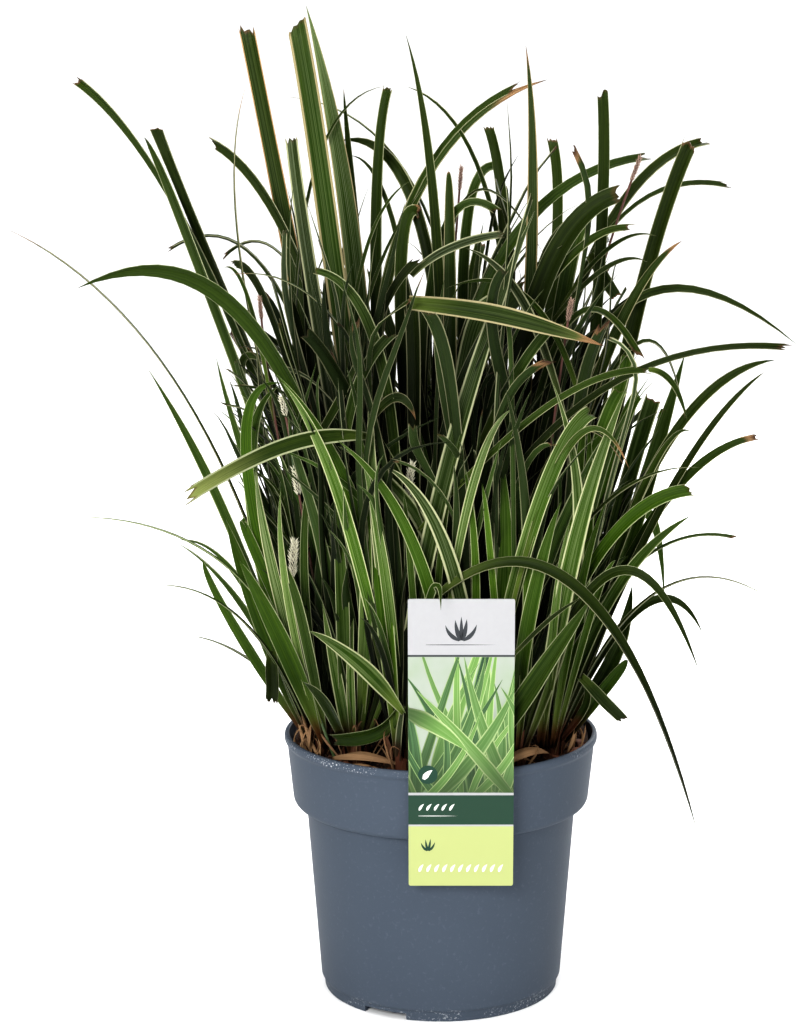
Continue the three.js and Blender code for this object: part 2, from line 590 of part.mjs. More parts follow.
// Rings of six round the stem, whose foot stands upright in the soil, then round the head, where scales
// stand out by turns.
function spikeRings(spike, grow = 0) {
  const curve = curveOf(spike);
  const headFrom = 1 - SPIKE.headLong / curve.getLength();
  const ring = (t, radius, scales, turn) => {
    const centre = curve.getPoint(t);
    const along = curve.getTangent(t);
    const across = new THREE.Vector3().crossVectors(along, new THREE.Vector3(0, 1, 0)).normalize();
    return Array.from({ length: 6 }, (_, k) => {
      const out = across.clone().applyAxisAngle(along, -k * 60 * DEG);
      const wide = radius * (k % 2 === turn ? 1 + scales : 1 - scales) + grow;
      return centre.clone().addScaledVector(out, wide);
    });
  };
  const low = ring(0, SPIKE.stemRadius, 0, 0);
  low.forEach((point) => point.setZ(spike.root.z));
  const foot = low.map((point) => point.clone().setZ(spike.root.z - SPIKE.depth));
  const rings = [foot, low, ...[0.3, 0.55, 0.8].map((t) => ring(t * headFrom, SPIKE.stemRadius, 0, 0))];
  [1, 2.1, 2.6, 2.7, 2.4, 1.7].forEach((wide, i) => {
    const t = headFrom + ((1 - headFrom) * (i + 0.3)) / 6.3;
    rings.push(ring(t, (wide / 2.7) * spike.radius, i ? 0.24 : 0, i % 2));
  });
  rings.push([curve.getPoint(1)]);
  return rings;
}

// ---------------------------------------------------------------------------------- putting it together

const CROWN_PIECES = CROWNS.map(makeCrown);
const pot = makePot();
const label = makeLabel();

// What is in place so far: { crown, boxes, solid }.
const placed = [pot, label].map((solid) => ({ crown: -1, boxes: [boundsOf(solid)], solid }));
CROWN_PIECES.forEach((solid, crown) => placed.push({ crown, boxes: [boundsOf(solid)], solid }));

function boundsOf(solid) {
  const { min, max } = solid.boundingBox();
  return new THREE.Box3(new THREE.Vector3(...min), new THREE.Vector3(...max));
}

// A new piece meets nothing of another crown, and past its first step nothing of its own either.
function isClear(crown, boxes, grown, upper) {
  for (const other of placed) {
    const [mine, solid] = other.crown === crown ? upper : [boxes, grown];
    if (!mine.some((a) => other.boxes.some((b) => a.intersectsBox(b)))) continue;
    if (!solid().intersect(other.solid).isEmpty()) return false;
  }
  return true;
}

const leavesOf = CROWNS.map(() => []);
function placeLeaf(leaf) {
  const boxes = stepBoxes(leaf);
  const upper = [stepBoxes(leaf, 1), () => leafSolid(leaf, 0.3, 1)];
  if (!isClear(leaf.crown, boxes, () => leafSolid(leaf, 0.3), upper)) return false;
  const solid = leafSolid(leaf);
  leavesOf[leaf.crown].push(solid);
  placed.push({ crown: leaf.crown, boxes, solid });
  return true;
}

function firstPlaced(tries, candidate, place) {
  for (let k = 0; k < tries; k++) {
    if (place(candidate(k))) return true;
  }
  return false;
}

LEADING_LEAVES.forEach((row, i) => firstPlaced(LEADING_TRIES, (k) => leadingLeaf(row, i, k), placeLeaf));

const spikes = [];
for (const row of FLOWER_SPIKES) {
  firstPlaced(SPIKE.tries, (k) => spikeAt(row, k), (spike) => {
    const solid = skinOf(spikeRings(spike));
    const grown = skinOf(spikeRings(spike, 0.4));
    const boxes = [boundsOf(grown)];
    if (!isClear(-2, boxes, () => grown, [boxes, () => grown])) return false;
    placed.push({ crown: -2, boxes, solid });
    spikes.push({ solid, root: spike.root });
    return true;
  });
}

for (let i = 0; i < Math.max(...FILLING_PER_CROWN); i++) {
  for (let crown = 0; crown < CROWNS.length; crown++) {
    const ring = crown === 0 ? 0 : crown < 8 ? 1 : 2;
    if (i >= FILLING_PER_CROWN[ring]) continue;
    const candidate = (k) => fillingLeaf(crown, i, k);
    firstPlaced(FILLING_TRIES, candidate, (leaf) => staysInPlace(leaf) && placeLeaf(leaf));
  }
}

const sedge = new THREE.Group();
sedge.name = "potted_sedge";
function addPiece(name, solid, colour, roughness) {
  const material = new THREE.MeshStandardMaterial({ color: colour, roughness, metalness: 0 });
  const mesh = new THREE.Mesh(geometryOf(solid), material);
  mesh.name = name;
  sedge.add(mesh);
}

addPiece("pot", pot, 0x4d545e, 0.45);
addPiece("soil", makeSoil(spikes), 0x3a2318, 0.95);
addPiece("label", label, 0xdfe6c0, 0.35);
spikes.forEach(({ solid }, i) => addPiece(`flower_spike_${i + 1}`, solid, 0xb9ab7c, 0.8));
CROWN_PIECES.forEach((crownPiece, i) => {
  const tuft = leavesOf[i].reduce((sum, leaf) => sum.add(leaf), crownPiece);
  addPiece(`tuft_${String(i + 1).padStart(2, "0")}`, oneBody(tuft), 0x35562a, 0.5);
});

export default sedge;
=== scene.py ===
# %% [markdown]
# # A variegated sedge in its nursery pot
# The plant is a clump of twenty-one crowns, each with its own leaves, in a plastic pot of soil, with a plant
# label hooked over the rim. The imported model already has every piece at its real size, in metres, with the
# origin under the middle of the pot and the label on the -Y side. This lesson dresses it: each plain solid
# is replaced by a finer piece in the same place, and each surface gets a material built from nodes.

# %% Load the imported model
import math

import bmesh
import bpy
import numpy as np
from mathutils import Matrix, Vector, kdtree, noise


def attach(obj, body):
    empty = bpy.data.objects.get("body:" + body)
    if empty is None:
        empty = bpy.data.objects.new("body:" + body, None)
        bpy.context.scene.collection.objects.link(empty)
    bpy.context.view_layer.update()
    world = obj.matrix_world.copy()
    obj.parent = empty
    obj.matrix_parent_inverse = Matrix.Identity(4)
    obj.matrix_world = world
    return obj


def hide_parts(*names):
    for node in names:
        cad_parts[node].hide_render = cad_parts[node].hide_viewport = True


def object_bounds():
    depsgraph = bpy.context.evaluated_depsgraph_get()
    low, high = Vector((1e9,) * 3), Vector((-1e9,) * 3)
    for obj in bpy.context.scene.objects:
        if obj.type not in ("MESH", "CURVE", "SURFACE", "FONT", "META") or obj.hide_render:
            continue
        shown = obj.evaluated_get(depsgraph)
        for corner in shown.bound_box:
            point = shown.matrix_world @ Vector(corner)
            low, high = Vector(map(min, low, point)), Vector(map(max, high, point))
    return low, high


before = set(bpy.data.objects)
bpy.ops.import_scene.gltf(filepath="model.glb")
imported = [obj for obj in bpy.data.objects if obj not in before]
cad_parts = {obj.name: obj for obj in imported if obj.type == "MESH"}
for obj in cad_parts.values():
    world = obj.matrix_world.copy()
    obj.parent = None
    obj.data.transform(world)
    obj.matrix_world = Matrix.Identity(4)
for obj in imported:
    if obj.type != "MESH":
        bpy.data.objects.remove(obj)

MM = 0.001
DEG = math.pi / 180
TURN = 2 * math.pi
cad_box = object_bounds()
cad_size = [round((high - low) / MM) for low, high in zip(*cad_box)]
print("the packed model measures", cad_size, "mm, in", len(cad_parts), "nodes")


def at(*numbers):
    """A place or a direction, from its two or three numbers."""
    return Vector(numbers)


def polar(radius, turn):
    """The x and y of a place at this distance and turn from the middle."""
    return radius * math.cos(turn), radius * math.sin(turn)


def rows_of(table):
    """The rows of a table that is written as text. A word that ends in a digit is a number."""
    rows = [line.split() for line in table.strip().splitlines()]
    return [[float(word) if word[-1].isdigit() else word for word in row] for row in rows]


# %% [markdown]
# ## Camera, floor and light
# A plant in a catalogue stands on a pale floor in soft light from all round, so that nothing casts a hard
# shadow. Its dark inside comes partly from that light falling off and partly from painted shade in the blades'
# material. The world gives most of that light. Three large area lamps add the broad highlights on the leaves
# and the slow fall of tone across the pot. The camera stands a metre and a half away at leaf height and looks
# slightly down. A small shift moves the frame sideways without turning the camera, as a view camera does.

# %% Camera
camera_data = bpy.data.cameras.new("camera")
camera_data.lens = 91.4
camera_data.shift_x = -0.0379
camera = bpy.data.objects.new("camera", camera_data)
camera.location = (0, -1.532, 0.581)
camera.rotation_euler = ((90 - 10.6) * DEG, 0, 0)
bpy.context.scene.collection.objects.link(camera)
bpy.context.scene.camera = camera
bpy.context.scene.view_settings.view_transform = "Standard"
bpy.context.scene.view_settings.look = "Medium High Contrast"
print("the camera looks down by 10.6 degrees through a", camera_data.lens, "mm lens")


# %% [markdown]
# ## Writing nodes as sums
# Materials and Geometry Nodes both do their arithmetic with Math and Vector Math nodes, and placing these one
# by one hides the formula. A small class wraps a socket and overloads the operators, so that `1 - mask`
# adds the right node and gives back a socket that can be used again. Everything else goes through one
# method that takes the node's type, its settings, and what its sockets hold.

# %% Wires and graphs
class Wire:
    """An output socket that can stand in a Python expression."""

    def __init__(self, graph, socket):
        self.graph = graph
        self.socket = socket

    @property
    def is_vector(self):
        return self.socket.type in {"VECTOR", "RGBA"}

    def __add__(self, other):
        return self.graph.maths("ADD", self, other)

    def __radd__(self, other):
        return self.graph.maths("ADD", other, self)

    def __sub__(self, other):
        return self.graph.maths("SUBTRACT", self, other)

    def __rsub__(self, other):
        return self.graph.maths("SUBTRACT", other, self)

    def __mul__(self, other):
        return self.graph.maths("MULTIPLY", self, other)

    def __rmul__(self, other):
        return self.graph.maths("MULTIPLY", self, other)

    def __truediv__(self, other):
        return self.graph.maths("DIVIDE", self, other)

    def __pow__(self, other):
        return self.graph.maths("POWER", self, other)

    def part(self, axis):
        return self.graph.node("ShaderNodeSeparateXYZ", {}, {0: self}, "XYZ".index(axis))


class Graph:
    """The nodes of one material or one Geometry Nodes modifier."""

    def __init__(self, tree):
        self.tree = tree

    def node(self, kind, settings=None, inputs=None, output=0):
        """Adds a node. Its settings come first, because some of them change its sockets."""
        node = self.tree.nodes.new(kind)
        for key, value in (settings or {}).items():
            setattr(node, key, value)
        for key, value in (inputs or {}).items():
            if isinstance(value, Wire):
                self.tree.links.new(value.socket, node.inputs[key])
            else:
                node.inputs[key].default_value = value
        return Wire(self, node.outputs[output]) if node.outputs else node

    def maths(self, operation, a, b):
        """A Math node for two numbers, or a Vector Math node as soon as one of the two is a vector."""
        vectors = [v for v in (a, b) if isinstance(v, tuple) or isinstance(v, Wire) and v.is_vector]
        if not vectors:
            return self.node("ShaderNodeMath", {"operation": operation}, {0: a, 1: b})
        if operation == "MULTIPLY" and len(vectors) == 1:
            vector, number = (a, b) if vectors[0] is a else (b, a)
            return self.node("ShaderNodeVectorMath", {"operation": "SCALE"}, {0: vector, 3: number})
        return self.vectors(operation, a, b)

    def vectors(self, operation, *values):
        """A Vector Math node. A length or a dot product leaves it by its second socket."""
        output = 1 if operation in {"LENGTH", "DOT_PRODUCT"} else 0
        settings = {"operation": operation}
        return self.node("ShaderNodeVectorMath", settings, dict(enumerate(values)), output)

    def one(self, operation, value):
        return self.node("ShaderNodeMath", {"operation": operation}, {0: value})

    def vector(self, x, y, z):
        return self.node("ShaderNodeCombineXYZ", {}, {0: x, 1: y, 2: z})

    def step(self, value, low, high):
        """0 below low, 1 above high, and a soft rise between."""
        inputs = {0: value, 1: low, 2: high, 3: 0.0, 4: 1.0}
        return self.node("ShaderNodeMapRange", {"interpolation_type": "SMOOTHSTEP"}, inputs)

    def mix(self, share, a, b):
        """A colour that goes from a to b as share goes from 0 to 1."""
        paint = [(*v, 1) if isinstance(v, tuple) and len(v) == 3 else v for v in (a, b)]
        return self.node("ShaderNodeMix", {"data_type": "RGBA"}, {0: share, 6: paint[0], 7: paint[1]}, 2)

    def noise(self, where, scale, detail=2.0, roughness=0.5):
        inputs = {"Vector": where, "Scale": scale, "Detail": detail, "Roughness": roughness}
        return self.node("ShaderNodeTexNoise", {}, inputs)

    def attribute(self, name):
        return self.node("ShaderNodeAttribute", {"attribute_name": name}, {}, 2)


class Finish(Graph):
    """A material: a Principled shader, with what varies over the surface linked to it."""

    def __init__(self, name):
        self.material = bpy.data.materials.new(name)
        self.material.use_nodes = True
        super().__init__(self.material.node_tree)
        self.shader = self.tree.nodes["Principled BSDF"]
        self.place = self.node("ShaderNodeTexCoord", {}, {}, 3)

    def put(self, **sockets):
        """Sets or links the shader's sockets: base_color means Base Color."""
        for key, value in sockets.items():
            name = key.replace("_", " ").title().replace("Ior", "IOR")
            if isinstance(value, Wire):
                self.tree.links.new(value.socket, self.shader.inputs[name])
            else:
                self.shader.inputs[name].default_value = value

    def bump(self, height, distance, strength=1.0):
        inputs = {"Height": height, "Distance": distance, "Strength": strength}
        self.put(normal=self.node("ShaderNodeBump", {}, inputs))


print("nodes can now be written as sums")

# %% Floor, world and lamps
def mesh_of(name, form):
    """A new mesh with what a bmesh form holds. The form itself is given up."""
    mesh = bpy.data.meshes.new(name)
    form.to_mesh(mesh)
    form.free()
    return mesh


HORIZON_GLOW = 1.0
WALL_GLOW = 0.06
CEILING_GLOW = 3.7
floor_form = bmesh.new()
bmesh.ops.create_circle(floor_form, cap_ends=True, segments=96, radius=14)
floor = bpy.data.objects.new("floor", mesh_of("floor", floor_form))
bpy.context.scene.collection.objects.link(floor)
paper = Finish("floor_paper")
paper_grain = paper.noise(paper.place, 3.0, 3.0)
paper.put(base_color=paper.mix(paper_grain, (0.86, 0.86, 0.86), (0.89, 0.89, 0.89)), roughness=0.9)
floor.data.materials.append(paper.material)

world = bpy.data.worlds.new("soft_room")
world.use_nodes = True
bpy.context.scene.world = world
room = Graph(world.node_tree)
height = room.node("ShaderNodeTexCoord", {}, {}, 0).part("Z")
low_wall = room.step(height, 0.21, 0.11)
ceiling = room.step(height, 0.72, 0.92)
glow = WALL_GLOW + low_wall * (HORIZON_GLOW - WALL_GLOW) + ceiling * (CEILING_GLOW - WALL_GLOW)
background = world.node_tree.nodes["Background"]
background.inputs["Color"].default_value = (1, 1, 1, 1)
world.node_tree.links.new(glow.socket, background.inputs["Strength"])

LAMPS = {  # place in metres, side of the lamp in metres, power in watts
    "lamp_key": ((-0.8, -2.2, 1.25), 0.9, 62),
    "lamp_fill": ((1.5, -1.6, 0.9), 0.8, 6),
    "lamp_back": ((0.9, 2.0, 1.2), 1.2, 42),
}
for lamp_name, (lamp_place, lamp_side, lamp_power) in LAMPS.items():
    lamp_data = bpy.data.lights.new(lamp_name, "AREA")
    lamp_data.energy = lamp_power
    lamp_data.size = lamp_side
    lamp = bpy.data.objects.new(lamp_name, lamp_data)
    lamp.location = lamp_place
    lamp.rotation_euler = (at(0, 0, 0.3) - lamp.location).to_track_quat("-Z", "Y").to_euler()
    bpy.context.scene.collection.objects.link(lamp)
print("the floor, the world and", len(LAMPS), "lamps are in place")

# %% [markdown]
# ## Where the crowns stand
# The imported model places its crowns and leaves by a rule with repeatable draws: one crown in the middle,
# seven round it and thirteen by the wall. The same rule is written here once more, so that each fine leaf
# grows where its plain solid is. The draws come from a small generator that gives the same numbers in any
# language.


# %% The rule for crowns
def draws_from(seed):
    """Repeatable draws between 0 and 1 from a whole-number seed."""
    state = (seed * 2654435 + 12345) % 4294967296

    def draw():
        nonlocal state
        state = (state * 1664525 + 1013904223) % 4294967296
        return state / 4294967296

    draw()
    return draw


RIM_RADIUS, RIM_TOP_Z = 95, 160
SOIL_RIM_Z, SOIL_MOUND_Z = 150, 156
CROWN_RINGS = [(1, 0, 0), (7, 37, 20), (13, 74, 4)]  # count, radius, first turn in degrees


def soil_z(x, y):
    share = min(1, math.hypot(x, y) / (RIM_RADIUS - 4))
    return SOIL_RIM_Z + (SOIL_MOUND_Z - SOIL_RIM_Z) * (1 - share**3)


def crown_places():
    places = []
    draw = draws_from(7)
    for count, radius, turn_deg in CROWN_RINGS:
        for i in range(count):
            turn = (turn_deg + 360 / count * i + (draw() - 0.5) * 7) * DEG
            out = radius + (draw() - 0.5) * min(6, radius)
            places.append(polar(out, turn))
    return places


CROWNS = crown_places()
TUFTS = [f"tuft_{i + 1:02d}" for i in range(len(CROWNS))]
print(len(CROWNS), "crowns, the first at", CROWNS[0])

# %% [markdown]
# ## Where the leaves go
# A leaf follows a quadratic curve from its crown, through a middle point, to its tip. A hundred leading
# leaves give the clump its outline and are listed one by one; the others fill each crown by rule. A leaf that
# would have met another was moved on by a few millimetres when the model was made, one try after another.
# To find the try that was kept, each candidate's tip is looked up among the corners of the imported tuft.

# %% Leading leaves
# crown near x, y,  middle x, y, z,  tip x, y, z,  width, turn in degrees, end, look
LEADING_LEAVES = rows_of("""
-25 -10 -58 -24 412 -84 -30 588 14 85 point split
0 -74 64 -104 282 144 -128 136 11 30 point old
20 -74 -30 -98 348 -146 -122 322 14 40 cut faded
-76 -28 -96 -44 220 -98 -52 190 11 60 cut mid
-10 -60 -12 -72 390 90 -98 406 13 60 point old
-20 0 -46 -12 418 -74 -12 592 10 85 cut pale
-36 10 -80 -4 408 -112 -10 582 12.5 80 cut tawny
60 20 110 14 378 148 10 516 11 70 cut old
74 -10 128 -22 328 194 -32 390 10 55 cut old
-36 -30 -96 -60 400 -204 -72 436 10 55 cut leafy
-10 -60 -6 -96 258 0 -124 262 8 40 point young
20 -74 0 -80 282 -58 -86 348 12 70 point cream
66 -35 82 -66 272 84 -70 360 11 80 point fresh
-36 10 -130 0 428 -212 -10 552 9 40 cut old
-36 10 -132 -24 426 -170 -30 518 11 50 point mid
-30 30 -130 22 428 -168 24 522 11 50 cut old
-36 -10 -108 -40 408 -110 -42 548 3 20 point burnt
-10 36 -72 30 408 -138 36 514 9 45 cut old
-40 -20 -66 -44 386 -84 -50 520 10 80 cut silver
-30 40 -48 40 430 -58 40 544 7 60 point old
-10 36 -38 32 418 -30 36 546 9 60 cut old
-70 20 -84 20 444 -32 16 546 5 25 point old
20 30 2 18 444 -92 10 540 5 20 point old
-36 10 -88 26 408 -166 32 448 6 25 cut old
-10 36 -74 44 406 -134 50 442 5 25 cut old
-70 -20 -146 -24 362 -254 -20 466 5 15 point burnt
-10 -36 -40 -56 382 -122 -62 442 5 20 point old
-10 -60 -28 -70 372 -72 -76 448 10 45 cut mid
-74 -20 -122 -30 290 -170 -36 386 9 60 point young
-60 30 -108 8 300 -134 10 386 9 55 point young
-20 -70 -44 -76 298 -92 -82 388 11 75 point fresh
-70 -10 -108 -42 310 -92 -52 378 13 50 point young
0 0 0 -20 424 -20 -22 576 8 80 point old
36 0 38 8 438 -20 6 546 4 20 point old
-20 20 -30 -8 436 62 0 550 8 50 point tipped
-30 10 -34 16 424 48 26 546 6 40 cut old
36 -10 52 -32 424 48 -40 570 9 75 point brown
20 30 38 20 402 28 20 524 8 75 cut dark
36 36 64 36 394 66 36 516 8 80 cut old
55 10 92 0 404 94 -6 546 10 75 cut dark
36 0 78 20 420 174 22 486 6 25 cut old
0 0 20 -30 414 122 -22 506 9 45 cut leafy
36 10 80 2 420 156 2 514 8 50 cut old
20 -20 50 -32 402 110 -38 486 13 60 cut dark
50 -10 88 -32 368 138 -42 460 8 50 point burnt
50 30 94 0 400 210 -10 396 4.5 10 point old
-20 -30 60 -76 352 202 -60 400 4.5 15 cut old
70 -30 132 -42 310 186 -52 386 6 50 point old
74 -10 124 -46 298 184 -58 348 8 35 cut old
55 -50 90 -80 282 144 -96 324 10 45 cut plain
20 -60 76 -76 292 146 -86 336 5 15 point old
-20 -70 2 -76 342 50 -60 436 12 70 cut mid
50 -60 78 -76 280 62 -86 386 9 75 point cream
74 10 114 0 280 144 -6 390 9 65 point young
50 10 88 -48 358 140 -62 358 6 15 point old
20 -50 60 -80 334 104 -92 336 5.5 25 point burnt
36 -10 64 -50 392 114 -56 392 8 30 cut old
0 -36 6 -30 418 4 -28 498 10 70 point burnt
36 0 14 6 422 34 10 498 9 55 cut mid
0 0 -6 -6 420 34 -2 472 8 50 cut mid
0 0 4 -14 452 60 -30 450 5 30 point old
0 -36 -4 10 436 -60 20 514 8 60 point old
0 0 -18 0 422 -54 6 506 6 50 point old
74 0 108 -8 298 126 -10 366 12 70 cut mid
36 -20 88 -42 322 108 -46 396 9 60 cut young
60 -40 84 -60 312 104 -66 378 10 60 cut fresh
60 -50 76 -72 304 82 -78 366 8 80 point fresh
74 0 126 20 334 130 24 368 8 60 point young
-76 -10 -116 -20 254 -156 -26 282 7 45 point young
-76 -10 -122 -30 234 -140 -34 272 10 55 point plain
-60 -45 -104 -56 276 -112 -60 296 9 60 point plain
-36 -30 -14 -50 358 -12 -52 428 14 75 cut old
0 -36 14 -46 380 40 -54 416 13 60 cut cream
-30 20 -114 10 360 -84 -4 368 9 45 point old
36 10 68 -12 396 84 -14 468 12 70 cut mid
-25 -74 -36 -92 218 -74 -106 246 10 50 point white
-20 -74 -34 -86 276 -46 -86 358 12 80 point fresh
30 -74 36 -80 258 34 -80 344 13 85 point fresh
40 -70 50 -86 254 44 -88 326 8 80 point fresh
-30 -60 -36 -76 246 -66 -86 292 10 50 point fresh
-62 -45 -60 -66 208 -68 -72 254 8 80 point shoot
-62 -45 -52 -70 208 -50 -76 252 6 80 point shoot
-76 -10 -104 -44 238 -124 -56 300 14 70 point plain
-70 -20 -120 -42 266 -218 -46 300 5 15 point young
-76 -10 -114 -28 240 -156 -32 282 8 40 point young
-70 -25 -112 -56 238 -164 -66 264 5 20 point young
-80 0 -110 -20 206 -150 -24 224 5 20 point cream
80 -20 86 -62 200 106 -78 184 9 50 cut old
60 -50 122 -76 260 190 -84 258 3.5 10 point old
55 -50 106 -62 268 174 -68 290 4.5 20 cut mid
60 -40 98 -72 256 142 -84 308 6 40 point young
70 0 116 10 288 136 14 238 8 50 point young
50 -50 96 -86 274 146 -104 222 6 25 point dark
74 -20 116 -58 248 152 -64 234 4.5 15 point dark
76 -10 102 -32 210 112 -42 258 11 60 point young
30 -74 56 -96 216 84 -112 266 14 60 point mid
0 0 -22 -36 410 -12 -32 474 9 65 cut old
-36 -10 -86 -30 382 -120 -34 446 7 50 cut old
60 -20 96 -40 314 116 -44 372 9 65 cut fresh
74 -10 114 -60 312 142 -70 354 7 45 point old
""")
FINER_FORMS = {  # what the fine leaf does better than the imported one, by row
    0: {"cut": True, "wide": 14.5, "move": at(1.6, 0, -3)},
    1: {"root": at(-5, -94, 258), "mid": at(75, -112, 271), "wide": 10.5, "taper": 4, "neck": 0.8},
    2: {"cut": False, "mid": at(2, -84, 268), "tip": at(-34, -86, 354), "wide": 7, "turn": 15},
    3: {"cut": False, "mid": at(-90, -40, 196), "tip": at(-99, -50, 222), "wide": 6, "turn": 20},
    4: {"cut": True, "tip": at(-16, -76, 428), "mid": at(-14, -68, 330), "wide": 11},
    5: {"cut": False, "wide": 13.5, "taper": 3, "move": at(-3.4, 0, 0)},
    8: {"cut": False, "wide": 8, "taper": 4, "turn": 50},
    9: {"cut": False, "wide": 13, "taper": 4},
    33: {"wide": 5, "taper": 4, "turn": 45},
    34: {"wide": 9, "taper": 4, "turn": 65},
    39: {"wide": 8},
    43: {"wide": 15, "tear": 26},
    44: {"wide": 9, "taper": 4},
    45: {"wide": 6.5, "taper": 5, "turn": 50},
    46: {"wide": 5.5, "turn": 50},
    47: {"taper": 3},
    53: {"wide": 13, "taper": 3, "turn": 72},
    54: {"mid": at(100, -44, 384), "wide": 5, "taper": 4},
    61: {"wide": 10, "taper": 4},
    67: {"wide": 6, "move": at(0, 0, -22)},
    71: {"tear": 34},
    75: {"mid": at(-23, -86, 182), "tip": at(-21, -92, 200), "wide": 6},
    87: {"mid": at(86, -38, 184), "tip": at(83, -57, 205), "wide": 6},
    90: {"wide": 8, "taper": 3, "turn": 60},
    91: {"wide": 8, "taper": 3, "turn": 80},
    92: {"wide": 7, "taper": 3, "turn": 60},
    93: {"wide": 6, "taper": 3, "turn": 60},
    94: {"wide": 11, "taper": 3},
}
# root x, y, z,  middle x, y, z,  tip x, y, z,  width, turn, end, look, share of width at its root
ADDED_LEAVES = rows_of("""
-16 -100 430 37 -116 424 89 -120 409 12.5 78 point tanned 1
-24 -80 197 -40 -76 179 -68 -62 173 12.5 60 cut plain .7
82 -56 206 95 -68 195 107 -78 184 8 70 cut mid 1
-34 -86 353 -84 -106 353 -147 -122 322 10.8 78 cut faded .35
-99 -50 221 -99 -52 205 -99 -54 189 9 85 cut dark 1
-21 -92 195 -46 -100 227 -74 -106 246 12 76 point lined .4
-24 -46 161 -54 -100 314 -89 -90 385 8.6 78 point bright .45
-22 -46 161 -31 -97 276 -45 -94 349 7.5 74 point bright .5
-22 -46 161 -36 -92 307 -39 -80 379 8 78 point pearl .5
23 -46 161 5 -100 288 -32 -106 340 10.6 76 point white .5
8 -46 161 -11 -98 285 -58 -100 354 9.4 74 point fresh .5
-71 -36 161 -110 -60 330 -91 -58 380 8.9 74 point plain .5
-69 -40 161 -94 -72 265 -106 -64 331 8.2 76 point pearl .55
-69 -41 161 -87 -80 258 -91 -76 322 5.7 74 point shoot .6
-67 -43 161 -93 -72 237 -116 -66 278 13.2 76 point plain .5
-67 -44 161 -78 -80 243 -91 -76 281 8.4 70 point mid .6
-55 -46 161 -65 -90 199 -79 -88 212 8.3 72 point mid .7
-56 -46 161 -56 -80 258 -60 -76 321 9.3 78 point mid .6
-67 -43 161 -78 -66 267 -72 -60 342 6.4 74 point mid .6
-29 -46 161 7 -98 348 53 -56 478 12 78 point white .7
3 -86 236 19 -100 331 40 -96 371 6.2 74 point pearl .6
39 -46 161 29 -94 281 23 -92 328 5 74 point fresh .6
59 -46 161 74 -100 286 105 -84 383 12.3 78 point lined .5
23 -46 161 55 -98 315 85 -90 368 10.6 76 cut lined .6
37 -86 236 72 -104 351 105 -108 338 5.4 62 point tipped .6
-12 -88 300 61 -98 373 118 -88 391 4.8 60 cut old .7
116 -88 391 129 -84 384 139 -82 362 4.6 60 point old 1
-24 -44 161 -23 -50 290 -12 -60 399 12 76 point leafy .6
2 -44 161 -4 -58 290 -15 -50 405 11 74 point leafy .6
-30 -40 161 -32 -48 290 -28 -46 410 12 78 cut mid .6
-38 -78 362 -24 -84 375 -14 -88 363 7 60 point tipped .8
-58 -18 161 -68 -22 230 -80 -24 300 12 80 point leafy .6
-62 -14 161 -69 -18 212 -78 -20 268 15 84 point leafy .8
44 -46 161 51 -97 256 68 -92 318 10.5 78 point fresh .5
35 -99 223 59 -104 250 80 -107 266 3.1 74 point old .8
75 -27 161 101 -38 200 110 -40 213 8.3 76 point plain .7
17 -46 161 20 -92 278 11 -90 344 5.7 74 point fresh .6
-6 -46 161 0 -92 284 10 -92 346 5 74 point mid .6
-9 -46 161 -16 -94 273 -21 -92 323 5.1 70 point mid .6
-48 -46 161 -42 -84 259 -42 -82 317 9.5 78 point bright .5
62 -46 161 65 -94 255 73 -92 307 5.6 76 point bright .6
66 -45 161 78 -86 259 94 -80 316 6.3 76 point fresh .6
68 -42 161 87 -80 252 100 -78 281 5.2 70 point young .6
-16 -58 441 8 -60 458 40 -62 465 6.2 62 cut silver .9
72 -62 359 46 -76 430 14 -70 458 6.6 66 point silver .6
86 -56 347 53 -72 427 3 -66 435 4.9 60 point old .6
86 -14 449 95 -16 436 103 -18 423 8.5 74 cut old 1
58 -26 401 92 -40 442 118 -44 448 4 50 point old .7
70 -20 418 98 -30 455 124 -34 462 3.3 50 point old .8
37 -34 390 75 -48 452 112 -52 467 5.7 60 cut old .6
-52 -20 353 -40 -30 431 -6 -26 495 2.9 60 point old .8
-56 -20 365 -43 -26 453 -17 -20 493 2.9 60 point old .8
-51 -50 358 -32 -64 423 -10 -60 452 6.2 62 cut old .6
17 -60 330 44 -86 391 67 -84 419 7.1 70 cut mid .6
0 -60 324 16 -82 379 33 -80 407 7.7 70 point old .6
-55 -66 331 -45 -84 385 -24 -82 413 7.1 70 cut mid .6
-75 -56 341 -57 -76 373 -42 -74 407 5.8 70 point old .6
-96 -40 356 -109 -50 427 -124 -46 445 4 50 point old .7
""")
TOWARDS_LABEL = at(0, -1, 0)
LEAF_THICK = 1.1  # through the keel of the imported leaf
VIEW_DISTANCE, VIEW_HEIGHT = 1530, 580  # a leaf that moves back keeps its place as seen from here
LEADING_TRIES = 60
FILLING_PER_CROWN = [8, 6, 5]
FILLING_TRIES = 24


def ring_of(crown):
    return 0 if crown == 0 else 1 if crown < 8 else 2


def nearest_crown(x, y):
    return min(range(len(CROWNS)), key=lambda i: math.hypot(CROWNS[i][0] - x, CROWNS[i][1] - y))


def root_of(crown, way_x, way_y, offset):
    """Where a leaf leaves its crown: off the crown's middle, towards the way it goes."""
    x, y = CROWNS[crown]
    share = offset / max(1e-6, math.hypot(way_x, way_y))
    return at(x + way_x * share, y + way_y * share, soil_z(x, y) + 4)


def leaf_of(root, mid, tip, wide, side, look, **more):
    """A leaf: its curve, its width, the side that it faces, its look, and what only some leaves have."""
    leaf = {"root": root, "mid": mid, "tip": tip, "wide": wide, "side": side, "look": look}
    return leaf | {"turn": 0, "twist": 0, "cut": False} | more


def knee_of(leaf):
    """The control point of the curve that passes through the leaf's middle point."""
    return 2 * leaf["mid"] - (leaf["root"] + leaf["tip"]) / 2


